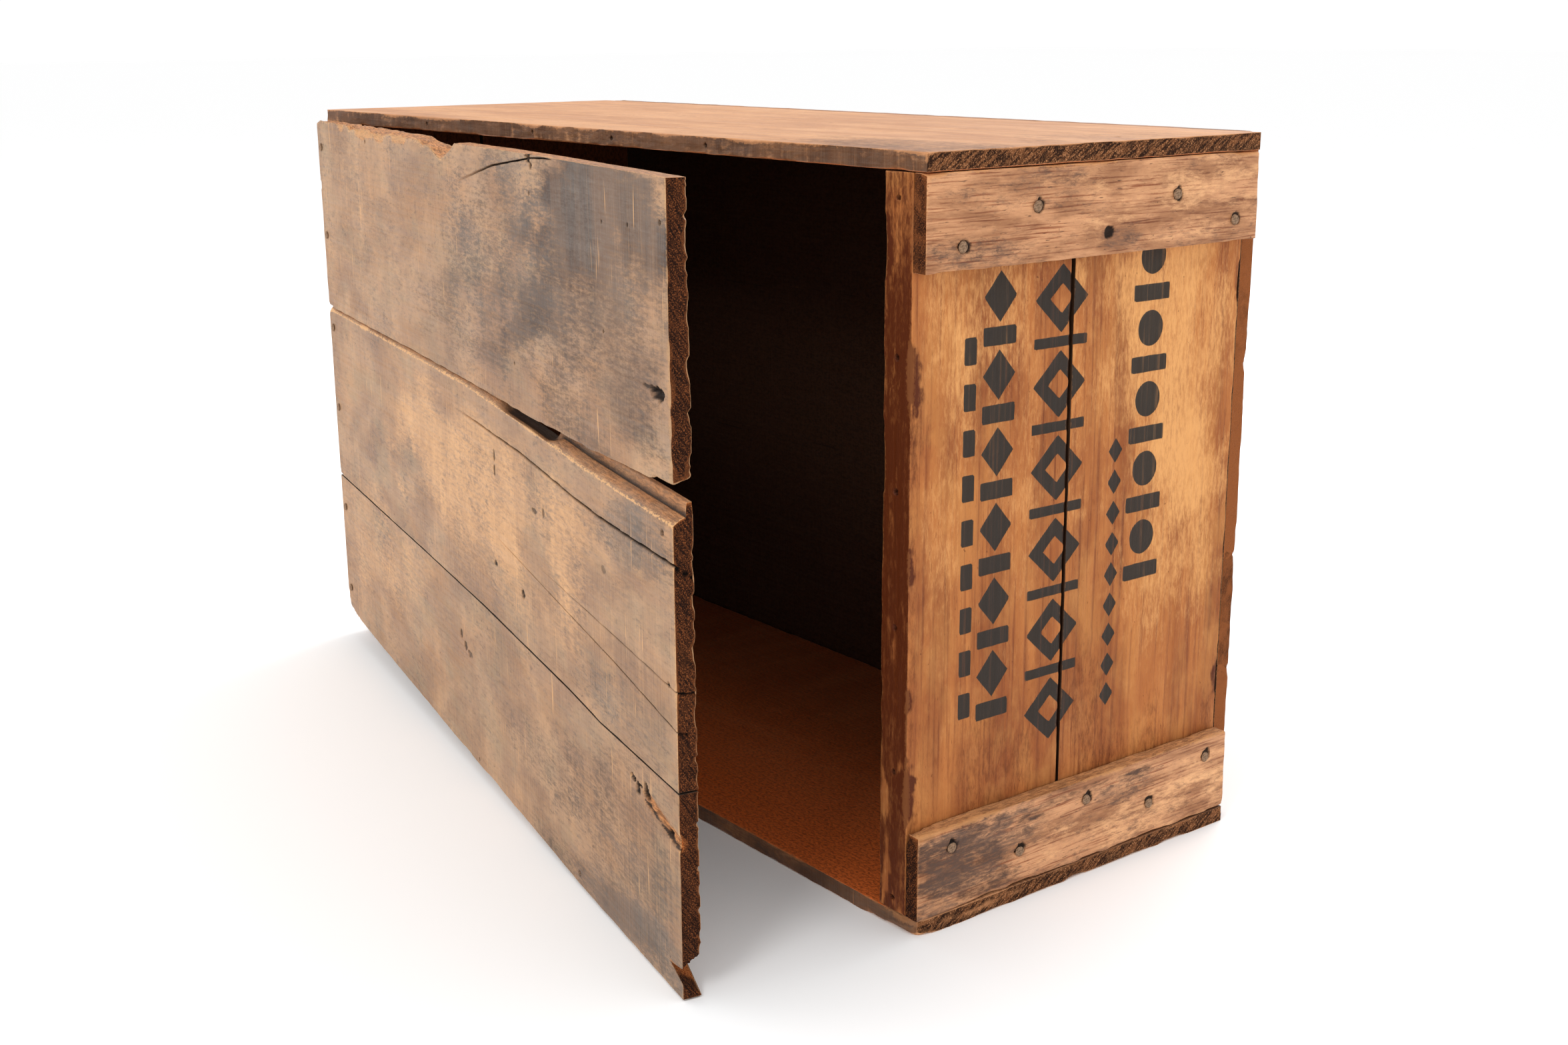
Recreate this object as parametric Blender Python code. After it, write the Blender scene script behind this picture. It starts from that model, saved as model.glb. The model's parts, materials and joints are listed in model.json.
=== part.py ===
"""A nailed wooden shipping crate, standing on its long side with the front boards sprung open.

Two thick ends, each of two boards held by two battens, carry a top board, a base board and four
back boards. The three front boards were nailed over the opening. They have pulled off the right
end and swing on the half-drawn nails that still hold them at the left end.

Metres, +Z up, +X towards the right end. The origin is the middle of the base board's underside,
and the open front faces -Y.
"""

import math

import bmesh
import bpy
from mathutils import Matrix, Vector

# Driving sizes of the whole crate
LENGTH = 0.6636
DEPTH = 0.245
HEIGHT = 0.406

# Board stock
SHELL_T = 0.0095
FACE_T = 0.0105
END_T = 0.0206
BATTEN_T = 0.0097
BATTEN_W = 0.048
ARRIS = 0.0008
JOINT_GAP = 0.0003

# The two boards of an end meet off centre, with a shrinkage gap between them
END_SEAM_Y = -0.0108
END_SEAM_GAP = 0.0018

# The front boards swing about the left end's outer front corner
OPEN_ANGLE = math.radians(10.8)
STANDOFF = 0.0015

# Edge heights of the front boards, each at the hinge end and at the free end
UPPER_HEAD = (0.4000, 0.4000)
UPPER_FOOT = (0.2615, 0.2598)
MIDDLE_HEAD = (0.2592, 0.2432)
MIDDLE_FOOT = (0.1317, 0.1120)
LOWER_FOOT = ((0.007, 0.0225), (0.300, 0.0095), (0.500, 0.0030), (0.6441, 0.0010))

# Where the upper board's head was levered: place along the board, radius and depth
LEVER_MARKS = ((0.308, 0.016, 0.0105), (0.334, 0.008, 0.0035), (0.120, 0.010, 0.0018))

# Back boards, from the floor up: where one stops and the next starts
BACK_SEAMS = (0.090, 0.160, 0.274)
BACK_NAMES = ("bottom", "lower", "upper", "top")

# Tongues and grooves
TONGUE_T = 0.003
TONGUE_H = 0.006
GROOVE_EASE = 0.0004

# Wire nails
SHANK_R = 0.0013
HEAD_R = 0.0030
HEAD_T = 0.0013
POINT_H = 0.004
NAIL_SIDES = 12
DRILL_EASE = 0.0003
NAIL_LONG = 0.028
NAIL_SHORT_REACH = 0.0055

# Where the nails stand
BATTEN_NAIL_Y = (-0.099, -0.0488, 0.0025, 0.055, 0.103)
BATTEN_NAIL_INSET = (0.0365, 0.0200)
PULLED_BATTEN_NAIL = 2
LID_NAIL_Y = (-0.100, -0.022, 0.034, 0.085)
BASE_NAIL_Y = (-0.100, 0.034, 0.085)
FRONT_NAIL_Z = {
    "upper": (0.380, 0.316),
    "middle": (0.247, 0.186),
    "lower": (0.108, 0.043),
}
PULLED_NAIL_Z = {
    "upper": (0.3798, 0.3019),
    "middle": (0.2361, 0.1624),
    "lower": (0.0860,),
}
EMPTY_EDGE_Z = (0.3837, 0.3064, 0.2382, 0.1672, 0.0880, 0.0172)

HALF_L = LENGTH / 2
HALF_D = DEPTH / 2
END_OUTER = HALF_L - BATTEN_T
END_MIDDLE = END_OUTER - END_T / 2
BOARD_RUN = 2 * END_OUTER
END_NAIL_S = END_OUTER - END_MIDDLE
CUT_PAST = 0.01


def clear_scene():
    for obj in list(bpy.data.objects):
        bpy.data.objects.remove(obj)


def make_material(name, colour, roughness, metallic=0.0):
    material = bpy.data.materials.new(name)
    material.use_nodes = True
    shader = material.node_tree.nodes["Principled BSDF"]
    shader.inputs["Base Color"].default_value = (*colour, 1.0)
    shader.inputs["Roughness"].default_value = roughness
    shader.inputs["Metallic"].default_value = metallic
    return material


def make_object(name, mesh, material=None, parent=None):
    obj = bpy.data.objects.new(name, mesh)
    bpy.context.scene.collection.objects.link(obj)
    if material and not mesh.materials:
        mesh.materials.append(material)
    obj.parent = parent
    return obj


def mesh_from(name, bm):
    bmesh.ops.recalc_face_normals(bm, faces=bm.faces)
    mesh = bpy.data.meshes.new(name)
    bm.to_mesh(mesh)
    bm.free()
    return mesh


def box_mesh(name, low, high, arris=ARRIS):
    """A board sawn square, with its corners eased by the arris."""
    low, high = Vector(low), Vector(high)
    bm = bmesh.new()
    place = Matrix.Translation((low + high) / 2) @ Matrix.Diagonal((*(high - low), 1.0))
    bmesh.ops.create_cube(bm, size=1.0, matrix=place)
    if arris:
        bmesh.ops.bevel(bm, geom=bm.edges, offset=arris, segments=1, affect="EDGES")
    return mesh_from(name, bm)


def add_prism(bm, outline, push):
    """A closed outline of 3-D points, pushed along a vector into a solid."""
    face = bm.faces.new([bm.verts.new(point) for point in outline])
    grown = bmesh.ops.extrude_face_region(bm, geom=[face])
    moved = [item for item in grown["geom"] if isinstance(item, bmesh.types.BMVert)]
    bmesh.ops.translate(bm, verts=moved, vec=push)


def moulding_mesh(name, x0, x1, first, last):
    """A (y, z) profile at x0 drawn out to a matching profile at x1."""
    bm = bmesh.new()
    near = [bm.verts.new((x0, y, z)) for y, z in first]
    far = [bm.verts.new((x1, y, z)) for y, z in last]
    bm.faces.new(near)
    bm.faces.new(reversed(far))
    for index in range(len(near)):
        after = (index + 1) % len(near)
        bm.faces.new((near[index], far[index], far[after], near[after]))
    return mesh_from(name, bm)


def plate_mesh(name, outline, y0, y1):
    """An (x, z) outline pushed from y0 to y1."""
    bm = bmesh.new()
    add_prism(bm, [(x, y0, z) for x, z in outline], (0, y1 - y0, 0))
    return mesh_from(name, bm)


def add_turned(bm, profile, sides, place):
    """Turns (radius, height) points about +Z. The first and last points lie on the axis."""
    rings = []
    for radius, height in profile:
        if radius == 0:
            rings.append([bm.verts.new(place @ Vector((0, 0, height)))])
            continue
        ring = []
        for side in range(sides):
            angle = math.tau * side / sides
            point = Vector((radius * math.cos(angle), radius * math.sin(angle), height))
            ring.append(bm.verts.new(place @ point))
        rings.append(ring)
    for ring, following in zip(rings, rings[1:]):
        for side in range(sides):
            after = (side + 1) % sides
            if len(ring) == 1:
                bm.faces.new((ring[0], following[side], following[after]))
            elif len(following) == 1:
                bm.faces.new((ring[side], ring[after], following[0]))
            else:
                bm.faces.new((ring[side], ring[after], following[after], following[side]))


def nail_profile(length):
    """A wire nail whose head sits on height 0 and whose point is length below it."""
    return [
        (0, HEAD_T),
        (HEAD_R * 0.75, HEAD_T * 0.92),
        (HEAD_R, HEAD_T * 0.45),
        (HEAD_R * 0.94, 0),
        (SHANK_R, 0),
        (SHANK_R, POINT_H - length),
        (0, -length),
    ]


def drill_profile(length, countersink):
    """The hole for that nail, open past its mouth, with room for a sunk head if asked."""
    radius = SHANK_R + DRILL_EASE
    head = HEAD_R + DRILL_EASE
    mouth = [(0, CUT_PAST), (radius, CUT_PAST)]
    if countersink:
        mouth = [(0, CUT_PAST), (head, CUT_PAST), (head, -DRILL_EASE), (radius, -DRILL_EASE)]
    return mouth + [(radius, -length - DRILL_EASE), (0, -length - 2 * DRILL_EASE)]


class Nail:
    """Where one nail stands: the middle of its head's underside, and which way it was driven."""

    def __init__(self, name, seat, drive, length=NAIL_LONG, countersink=False):
        self.name = name
        self.length = length
        self.countersink = countersink
        turn = (-Vector(drive)).to_track_quat("Z", "Y").to_matrix().to_4x4()
        self.place = Matrix.Translation(seat) @ turn


def make_nail(nail, material, parent=None):
    bm = bmesh.new()
    add_turned(bm, nail_profile(nail.length), NAIL_SIDES, nail.place)
    obj = make_object(nail.name, mesh_from(nail.name, bm), material, parent)
    obj.data.shade_smooth()
    obj.data.set_sharp_from_angle(angle=math.radians(40))
    return obj


def cut(obj, cutter):
    """Cuts one object by another, which stays as a hidden guide."""
    cutter.hide_render = True
    cutter.display_type = "WIRE"
    modifier = obj.modifiers.new(cutter.name, "BOOLEAN")
    modifier.operation = "DIFFERENCE"
    modifier.solver = "EXACT"
    modifier.object = cutter


def drill(boards, label, nails, parent=None):
    """Drills the same group of nail holes through every board that the nails pass."""
    bm = bmesh.new()
    for nail in nails:
        profile = drill_profile(nail.length, nail.countersink)
        add_turned(bm, profile, NAIL_SIDES, nail.place)
    cutter = make_object(label, mesh_from(label, bm), parent=parent)
    for board in boards:
        cut(board, cutter)


def make_shell(material):
    """The top and base boards, which run the full length over the battens."""
    boards = {}
    for name, foot in (("top_board", HEIGHT - SHELL_T), ("base_board", 0.0)):
        low = (-HALF_L, -HALF_D, foot)
        high = (HALF_L, HALF_D, foot + SHELL_T)
        boards[name] = make_object(name, box_mesh(name, low, high), material)
    return boards


def make_end(side, label, end_material, batten_material):
    """Two upright end boards and the two battens nailed across them. side is +1 for the right."""
    foot = SHELL_T + JOINT_GAP
    head = HEIGHT - SHELL_T - JOINT_GAP
    inner, outer = sorted((side * (END_OUTER - END_T), side * END_OUTER))
    boards = []
    for part, y0, y1 in (
        ("front", -HALF_D, END_SEAM_Y - END_SEAM_GAP / 2),
        ("rear", END_SEAM_Y + END_SEAM_GAP / 2, HALF_D),
    ):
        name = f"{label}_end_board_{part}"
        mesh = box_mesh(name, (inner, y0, foot), (outer, y1, head))
        boards.append(make_object(name, mesh, end_material))

    near, far = sorted((side * (END_OUTER + JOINT_GAP), side * HALF_L))
    battens = []
    for part, z0 in (("top", head - BATTEN_W), ("bottom", foot)):
        name = f"{label}_batten_{part}"
        mesh = box_mesh(name, (near, -HALF_D, z0), (far, HALF_D, z0 + BATTEN_W))
        battens.append(make_object(name, mesh, batten_material))
    return boards, battens


def batten_nails(side, label):
    """Five nails in a zigzag through each batten, starting on its inner row."""
    nails = {}
    for part, edge, up in (("top", HEIGHT - SHELL_T, -1), ("bottom", SHELL_T, 1)):
        row = []
        for index, y in enumerate(BATTEN_NAIL_Y):
            z = edge + up * BATTEN_NAIL_INSET[index % 2]
            seat = (side * (HALF_L + JOINT_GAP), y, z)
            row.append(Nail(f"{label}_batten_nail_{part}_{index + 1}", seat, (-side, 0, 0)))
        nails[part] = row
    return nails


def tongued_profile(foot, head, inner, tongue_at, groove, tongue):
    """A board's section from its inner face outwards, with an optional groove and tongue."""
    near, far = tongue_at, tongue_at + TONGUE_T
    profile = [(inner, foot)]
    if groove:
        deep = foot + TONGUE_H + GROOVE_EASE
        profile += [
            (inner + near - GROOVE_EASE, foot),
            (inner + near - GROOVE_EASE, deep),
            (inner + far + GROOVE_EASE, deep),
            (inner + far + GROOVE_EASE, foot),
        ]
    profile += [(inner + FACE_T - ARRIS, foot), (inner + FACE_T, foot + ARRIS)]
    profile += [(inner + FACE_T, head - ARRIS), (inner + FACE_T - ARRIS, head)]
    if tongue:
        rise = head + TONGUE_H
        profile += [
            (inner + far, head),
            (inner + far, rise),
            (inner + near, rise),
            (inner + near, head),
        ]
    return profile + [(inner, head)]


def make_back(material):
    """Four tongued boards nailed across the back, over the ends of the top and base boards."""
    feet = (0.0, *BACK_SEAMS)
    heads = (*BACK_SEAMS, HEIGHT)
    boards = []
    for index, part in enumerate(BACK_NAMES):
        name = f"back_board_{part}"
        profile = tongued_profile(
            feet[index] + (JOINT_GAP if index else 0),
            heads[index],
            inner=HALF_D + JOINT_GAP,
            tongue_at=0.0052,
            groove=index > 0,
            tongue=index < len(BACK_SEAMS),
        )
        mesh = moulding_mesh(name, -END_OUTER, END_OUTER, profile, profile)
        boards.append(make_object(name, mesh, material))
    return boards


def make_hinge(name):
    """The swing axis: upright, at the left end's outer front corner."""
    empty = bpy.data.objects.new(name, None)
    bpy.context.scene.collection.objects.link(empty)
    empty.location = (-END_OUTER, -HALF_D - STANDOFF, 0)
    empty.rotation_euler = (0, 0, -OPEN_ANGLE)
    return empty


def upper_profile(foot, head):
    """Square-edged, with the foot cut back towards the inner face."""
    return [
        (0, foot + 0.0035),
        (-FACE_T, foot),
        (-FACE_T, head - ARRIS),
        (-FACE_T + ARRIS, head),
        (0, head),
    ]


def middle_profile(foot, head):
    """A groove at the foot, and a chamfered shoulder with a thin tongue at the head."""
    groove_top = foot + TONGUE_H + GROOVE_EASE
    return [
        (0, foot),
        (-0.0036, foot),
        (-0.0036, groove_top),
        (-0.0074, groove_top),
        (-0.0074, foot),
        (-FACE_T, foot),
        (-FACE_T, head),
        (-0.0068, head + 0.0027),
        (-0.0036, head + 0.0038),
        (-0.0034, head + 0.0105),
        (-0.0026, head + 0.0110),
        (-0.0006, head + 0.0110),
        (0, head + 0.0050),
    ]


def lower_profile(head):
    """Tongued at the head. The foot is left long, for trimming."""
    return [
        (0, -0.02),
        (-FACE_T, -0.02),
        (-FACE_T, head),
        (-0.0070, head),
        (-0.0070, head + TONGUE_H),
        (-0.0040, head + TONGUE_H),
        (-0.0040, head),
        (0, head),
    ]


def wedge_profile(head):
    """Room for the middle board's tongue, open to the inner face."""
    top = head + 0.0110 + GROOVE_EASE
    return [(CUT_PAST, 0.2), (-0.0042, 0.2), (-0.0042, top), (CUT_PAST, top)]


def make_upper_board(material, hinge):
    """Levered out of shape at its head, and rebated where the tongue still reaches behind it."""
    name = "front_board_upper"
    ends = [upper_profile(foot, head) for foot, head in zip(UPPER_FOOT, UPPER_HEAD)]
    board = make_object(name, moulding_mesh(name, 0, BOARD_RUN, *ends), material, hinge)

    ends = [wedge_profile(head) for head in MIDDLE_HEAD]
    mesh = moulding_mesh("tongue_wedge", -0.0001, BOARD_RUN + 0.0001, *ends)
    cut(board, make_object("tongue_wedge", mesh, parent=hinge))

    bm = bmesh.new()
    for along, radius, depth in LEVER_MARKS:
        tilt = Matrix.Rotation(math.radians(70), 4, "X")
        place = Matrix.Translation((along, -FACE_T, UPPER_HEAD[0] + radius - depth)) @ tilt
        ends = [(0, -0.03), (radius, -0.03), (radius, 0.03), (0, 0.03)]
        add_turned(bm, ends, 24, place)
    cut(board, make_object("lever_marks", mesh_from("lever_marks", bm), parent=hinge))
    return board


def make_middle_board(material, hinge):
    name = "front_board_middle"
    ends = [middle_profile(foot, head) for foot, head in zip(MIDDLE_FOOT, MIDDLE_HEAD)]
    return make_object(name, moulding_mesh(name, 0, BOARD_RUN, *ends), material, hinge)


def make_lower_board(material, hinge):
    """Trimmed to a taper along its foot, with a split corner at the free end."""
    name = "front_board_lower"
    ends = [lower_profile(foot - JOINT_GAP) for foot in MIDDLE_FOOT]
    board = make_object(name, moulding_mesh(name, 0, BOARD_RUN, *ends), material, hinge)

    start, (_, end_foot) = LOWER_FOOT[0], LOWER_FOOT[-1]
    trim = [
        (-CUT_PAST, -0.04),
        (-CUT_PAST, start[1] + start[0]),
        (0, start[1] + start[0]),
        (start[0] * 0.3, start[1] + start[0] * 0.3),
        *LOWER_FOOT,
        (BOARD_RUN + CUT_PAST, end_foot),
        (BOARD_RUN + CUT_PAST, -0.04),
    ]
    mesh = plate_mesh("foot_trim", trim, -0.03, 0.03)
    cut(board, make_object("foot_trim", mesh, parent=hinge))

    split = [
        (BOARD_RUN - 0.014, end_foot + 0.0155),
        (BOARD_RUN + CUT_PAST, end_foot + 0.0050),
        (BOARD_RUN + CUT_PAST, end_foot + 0.0170),
    ]
    mesh = plate_mesh("corner_split", split, -0.03, 0.03)
    cut(board, make_object("corner_split", mesh, parent=hinge))
    return board


def front_nails(part):
    """Half-drawn nails at the hinge side. Their points stand a little proud of the inner face."""
    return [
        Nail(
            f"{part}_hinge_nail_{index + 1}",
            (END_NAIL_S, -FACE_T - JOINT_GAP, z),
            (0, 1, 0),
            length=FACE_T + NAIL_SHORT_REACH,
        )
        for index, z in enumerate(FRONT_NAIL_Z[part])
    ]


def pulled_nails(part):
    """The empty holes that the nails left at the free end."""
    return [
        Nail("pulled", (BOARD_RUN - END_NAIL_S, -FACE_T, z), (0, 1, 0), length=FACE_T + CUT_PAST)
        for z in PULLED_NAIL_Z[part]
    ]


def end_edge_holes(right_board, left_board):
    """Plain nail holes in the right end's front edge, and worn slots in the left end's."""
    nails = [
        Nail("empty", (END_MIDDLE, -HALF_D, z), (0, 1, 0), length=0.020) for z in EMPTY_EDGE_Z
    ]
    drill([right_board], "empty_edge_holes", nails)

    bm = bmesh.new()
    half_w, half_h, deep = 0.0026, 0.0019, 0.0075
    for z in sum(FRONT_NAIL_Z.values(), ()):
        outline = []
        for side in range(16):
            angle = math.tau * side / 16
            x = -END_MIDDLE + 0.0006 + half_w * math.cos(angle)
            outline.append((x, -HALF_D - CUT_PAST, z + half_h * math.sin(angle)))
        add_prism(bm, outline, (0, CUT_PAST + deep, 0))
    cut(left_board, make_object("worn_nail_slots", mesh_from("worn_nail_slots", bm)))


def build():
    clear_scene()
    end_wood = make_material("end_wood", (0.45, 0.22, 0.09), 0.6)
    batten_wood = make_material("batten_wood", (0.30, 0.15, 0.075), 0.65)
    shell_wood = make_material("shell_wood", (0.42, 0.22, 0.11), 0.65)
    back_wood = make_material("back_wood", (0.30, 0.15, 0.07), 0.7)
    front_wood = make_material("front_wood", (0.30, 0.19, 0.11), 0.6)
    iron = make_material("nail_iron", (0.16, 0.13, 0.11), 0.55, metallic=0.7)

    shell = make_shell(shell_wood)
    make_back(back_wood)
    ends = {}
    for side, label in ((1, "right"), (-1, "left")):
        boards, battens = make_end(side, label, end_wood, batten_wood)
        ends[label] = boards
        nails = batten_nails(side, label)
        drill(boards + battens[:1], f"{label}_top_batten_holes", nails["top"])
        drill(boards + battens[1:], f"{label}_bottom_batten_holes", nails["bottom"])
        standing = nails["top"] + nails["bottom"]
        if label == "right":
            del standing[PULLED_BATTEN_NAIL]
        for nail in standing:
            make_nail(nail, iron)

        for board, way, rows in (("top_board", -1, LID_NAIL_Y), ("base_board", 1, BASE_NAIL_Y)):
            sunk = HEAD_T + JOINT_GAP
            seat_z = HEIGHT - sunk if way < 0 else sunk
            nails = [
                Nail(
                    f"{label}_{board}_nail_{index + 1}",
                    (side * END_MIDDLE, y, seat_z),
                    (0, 0, way),
                    countersink=True,
                )
                for index, y in enumerate(rows)
            ]
            drill([shell[board], *boards], f"{label}_{board}_holes", nails)
            for nail in nails:
                make_nail(nail, iron)

    end_edge_holes(ends["right"][0], ends["left"][0])

    upper_hinge = make_hinge("upper_board_hinge")
    lower_hinge = make_hinge("lower_boards_hinge")
    for part, make_board, hinge in (
        ("upper", make_upper_board, upper_hinge),
        ("middle", make_middle_board, lower_hinge),
        ("lower", make_lower_board, lower_hinge),
    ):
        board = make_board(front_wood, hinge)
        nails = front_nails(part)
        drill([board], f"{part}_front_holes", nails + pulled_nails(part), parent=hinge)
        for nail in nails:
            make_nail(nail, iron, hinge)


build()
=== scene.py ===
"""The looks of the nailed wooden crate: its worn boards, cracks, stains, stencil ink and nails.

Each board is the skin of a block of lattice points. A board's own places are given along its grain
(u), across its width (v) and in from its show face (w), in metres.
"""

import itertools
import json
import math

import bpy
import numpy as np
from mathutils import Matrix, Vector


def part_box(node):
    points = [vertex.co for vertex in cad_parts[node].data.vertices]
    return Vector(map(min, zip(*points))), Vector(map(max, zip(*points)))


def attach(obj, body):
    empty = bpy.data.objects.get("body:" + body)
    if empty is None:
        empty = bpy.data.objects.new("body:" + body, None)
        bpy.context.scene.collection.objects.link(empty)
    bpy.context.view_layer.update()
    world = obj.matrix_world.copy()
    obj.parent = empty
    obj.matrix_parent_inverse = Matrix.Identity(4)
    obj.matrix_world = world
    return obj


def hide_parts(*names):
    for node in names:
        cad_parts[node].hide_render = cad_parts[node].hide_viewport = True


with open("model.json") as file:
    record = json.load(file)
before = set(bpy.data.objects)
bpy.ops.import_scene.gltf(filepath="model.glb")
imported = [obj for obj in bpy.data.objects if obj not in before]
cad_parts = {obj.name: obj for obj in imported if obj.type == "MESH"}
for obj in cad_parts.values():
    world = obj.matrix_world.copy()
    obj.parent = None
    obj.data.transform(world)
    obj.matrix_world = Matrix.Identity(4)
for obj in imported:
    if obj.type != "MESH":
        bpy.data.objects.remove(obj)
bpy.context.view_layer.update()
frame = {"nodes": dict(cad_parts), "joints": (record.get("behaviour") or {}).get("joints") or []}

MM = 0.001

# The upright axis of the sprung front boards, and how far they stand open
SWING = next(joint for joint in frame["joints"] if joint["name"] == "lower_boards_swing")
OPEN_ANGLE = math.radians(-SWING["range_deg"][0])
HINGE = Matrix.Translation((*SWING["pos_m"][:2], 0)) @ Matrix.Rotation(-OPEN_ANGLE, 4, "Z")

# Lattice lines this far in from each arris
ARRIS_LINES = (0.0003, 0.0007, 0.0013, 0.0024, 0.0042)
MARK_LINES = (-1.5, -1, -0.7, -0.35, 0, 0.35, 0.7, 1, 1.5)
THINNEST_CELL = 0.00014

# Heights of the nails that still hold the front boards, and of the empty holes in the right end
HINGE_NAIL_Z = {"upper": (0.38, 0.316), "middle": (0.247, 0.186), "lower": (0.108, 0.043)}
EMPTY_HOLE_Z = (0.3837, 0.3064, 0.2382, 0.1672, 0.088, 0.0172)


# ---------------- smooth noise


def cell_value(cells, seed):
    """A repeatable number from 0 to 1 for each whole-number cell."""
    mixed = (cells * np.array([374761393, 668265263, 1440662683])).sum(axis=-1) + seed * 974634777
    mixed &= 0xFFFFFFFF
    mixed = ((mixed ^ (mixed >> 13)) * 1274126177) & 0xFFFFFFFF
    return ((mixed ^ (mixed >> 16)) & 0xFFFF) / 0xFFFF


def noise(points, wavelength, seed=0, octaves=2):
    """Smooth noise from -1 to 1. wavelength is one length, or one for each of u, v and w."""
    total, reach = 0.0, 0.0
    for octave in range(octaves):
        scaled = points / np.asarray(wavelength) * 2**octave
        cell = np.floor(scaled).astype(np.int64)
        part = scaled - cell
        part = part * part * (3 - 2 * part)
        value = 0.0
        for corner in itertools.product((0, 1), repeat=3):
            share = np.where(corner, part, 1 - part).prod(axis=-1)
            value = value + share * cell_value(cell + np.array(corner), seed + octave)
        total = total + (2 * value - 1) / 2**octave
        reach += 1 / 2**octave
    return total / reach


def ease(value, start, end):
    """0 at start and 1 at end, with a smooth turn between. start may be the larger."""
    part = np.clip((value - start) / (end - start), 0, 1)
    return part * part * (3 - 2 * part)


def along(path, u):
    """The height of a path of (u, height) points at each u."""
    return np.interp(u, [place for place, _ in path], [height for _, height in path])


# ---------------- boards


def lattice_lines(length, step, marks=()):
    """Places along one side of a board: even steps, closer at its arrises and round each mark."""
    places = [0.0, length]
    places += list(np.linspace(0, length, max(2, round(length / step) + 1)))
    places += [inset for inset in ARRIS_LINES if inset < length / 2]
    places += [length - inset for inset in ARRIS_LINES if inset < length / 2]
    for middle, reach in marks:
        places += [middle + reach * part for part in MARK_LINES]
    kept = [0.0]
    for place in sorted(place for place in places if 0 < place < length):
        if place - kept[-1] > THINNEST_CELL:
            kept.append(place)
    return np.array([*kept[:-1], length]) if length - kept[-1] < 0.0001 else np.array([*kept, length])


def lattice_skin(counts):
    """The surface points of a block of lattice points, its surface quads and each quad's side."""
    on_skin = np.zeros(counts, bool)
    on_skin[[0, -1]] = on_skin[:, [0, -1]] = on_skin[:, :, [0, -1]] = True
    number = np.full(counts, -1)
    number[on_skin] = np.arange(on_skin.sum())
    quads, sides = [], []
    for axis in range(3):
        for end in (0, -1):
            sheet = np.take(number, end, axis=axis)
            corners = (sheet[:-1, :-1], sheet[1:, :-1], sheet[1:, 1:], sheet[:-1, 1:])
            quad = np.stack(corners, axis=-1).reshape(-1, 4)
            if (end == 0) == (axis != 1):
                quad = quad[:, ::-1]
            quads.append(quad)
            sides.append(np.full(len(quad), axis))
    return np.argwhere(on_skin), np.concatenate(quads), np.concatenate(sides)


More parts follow.
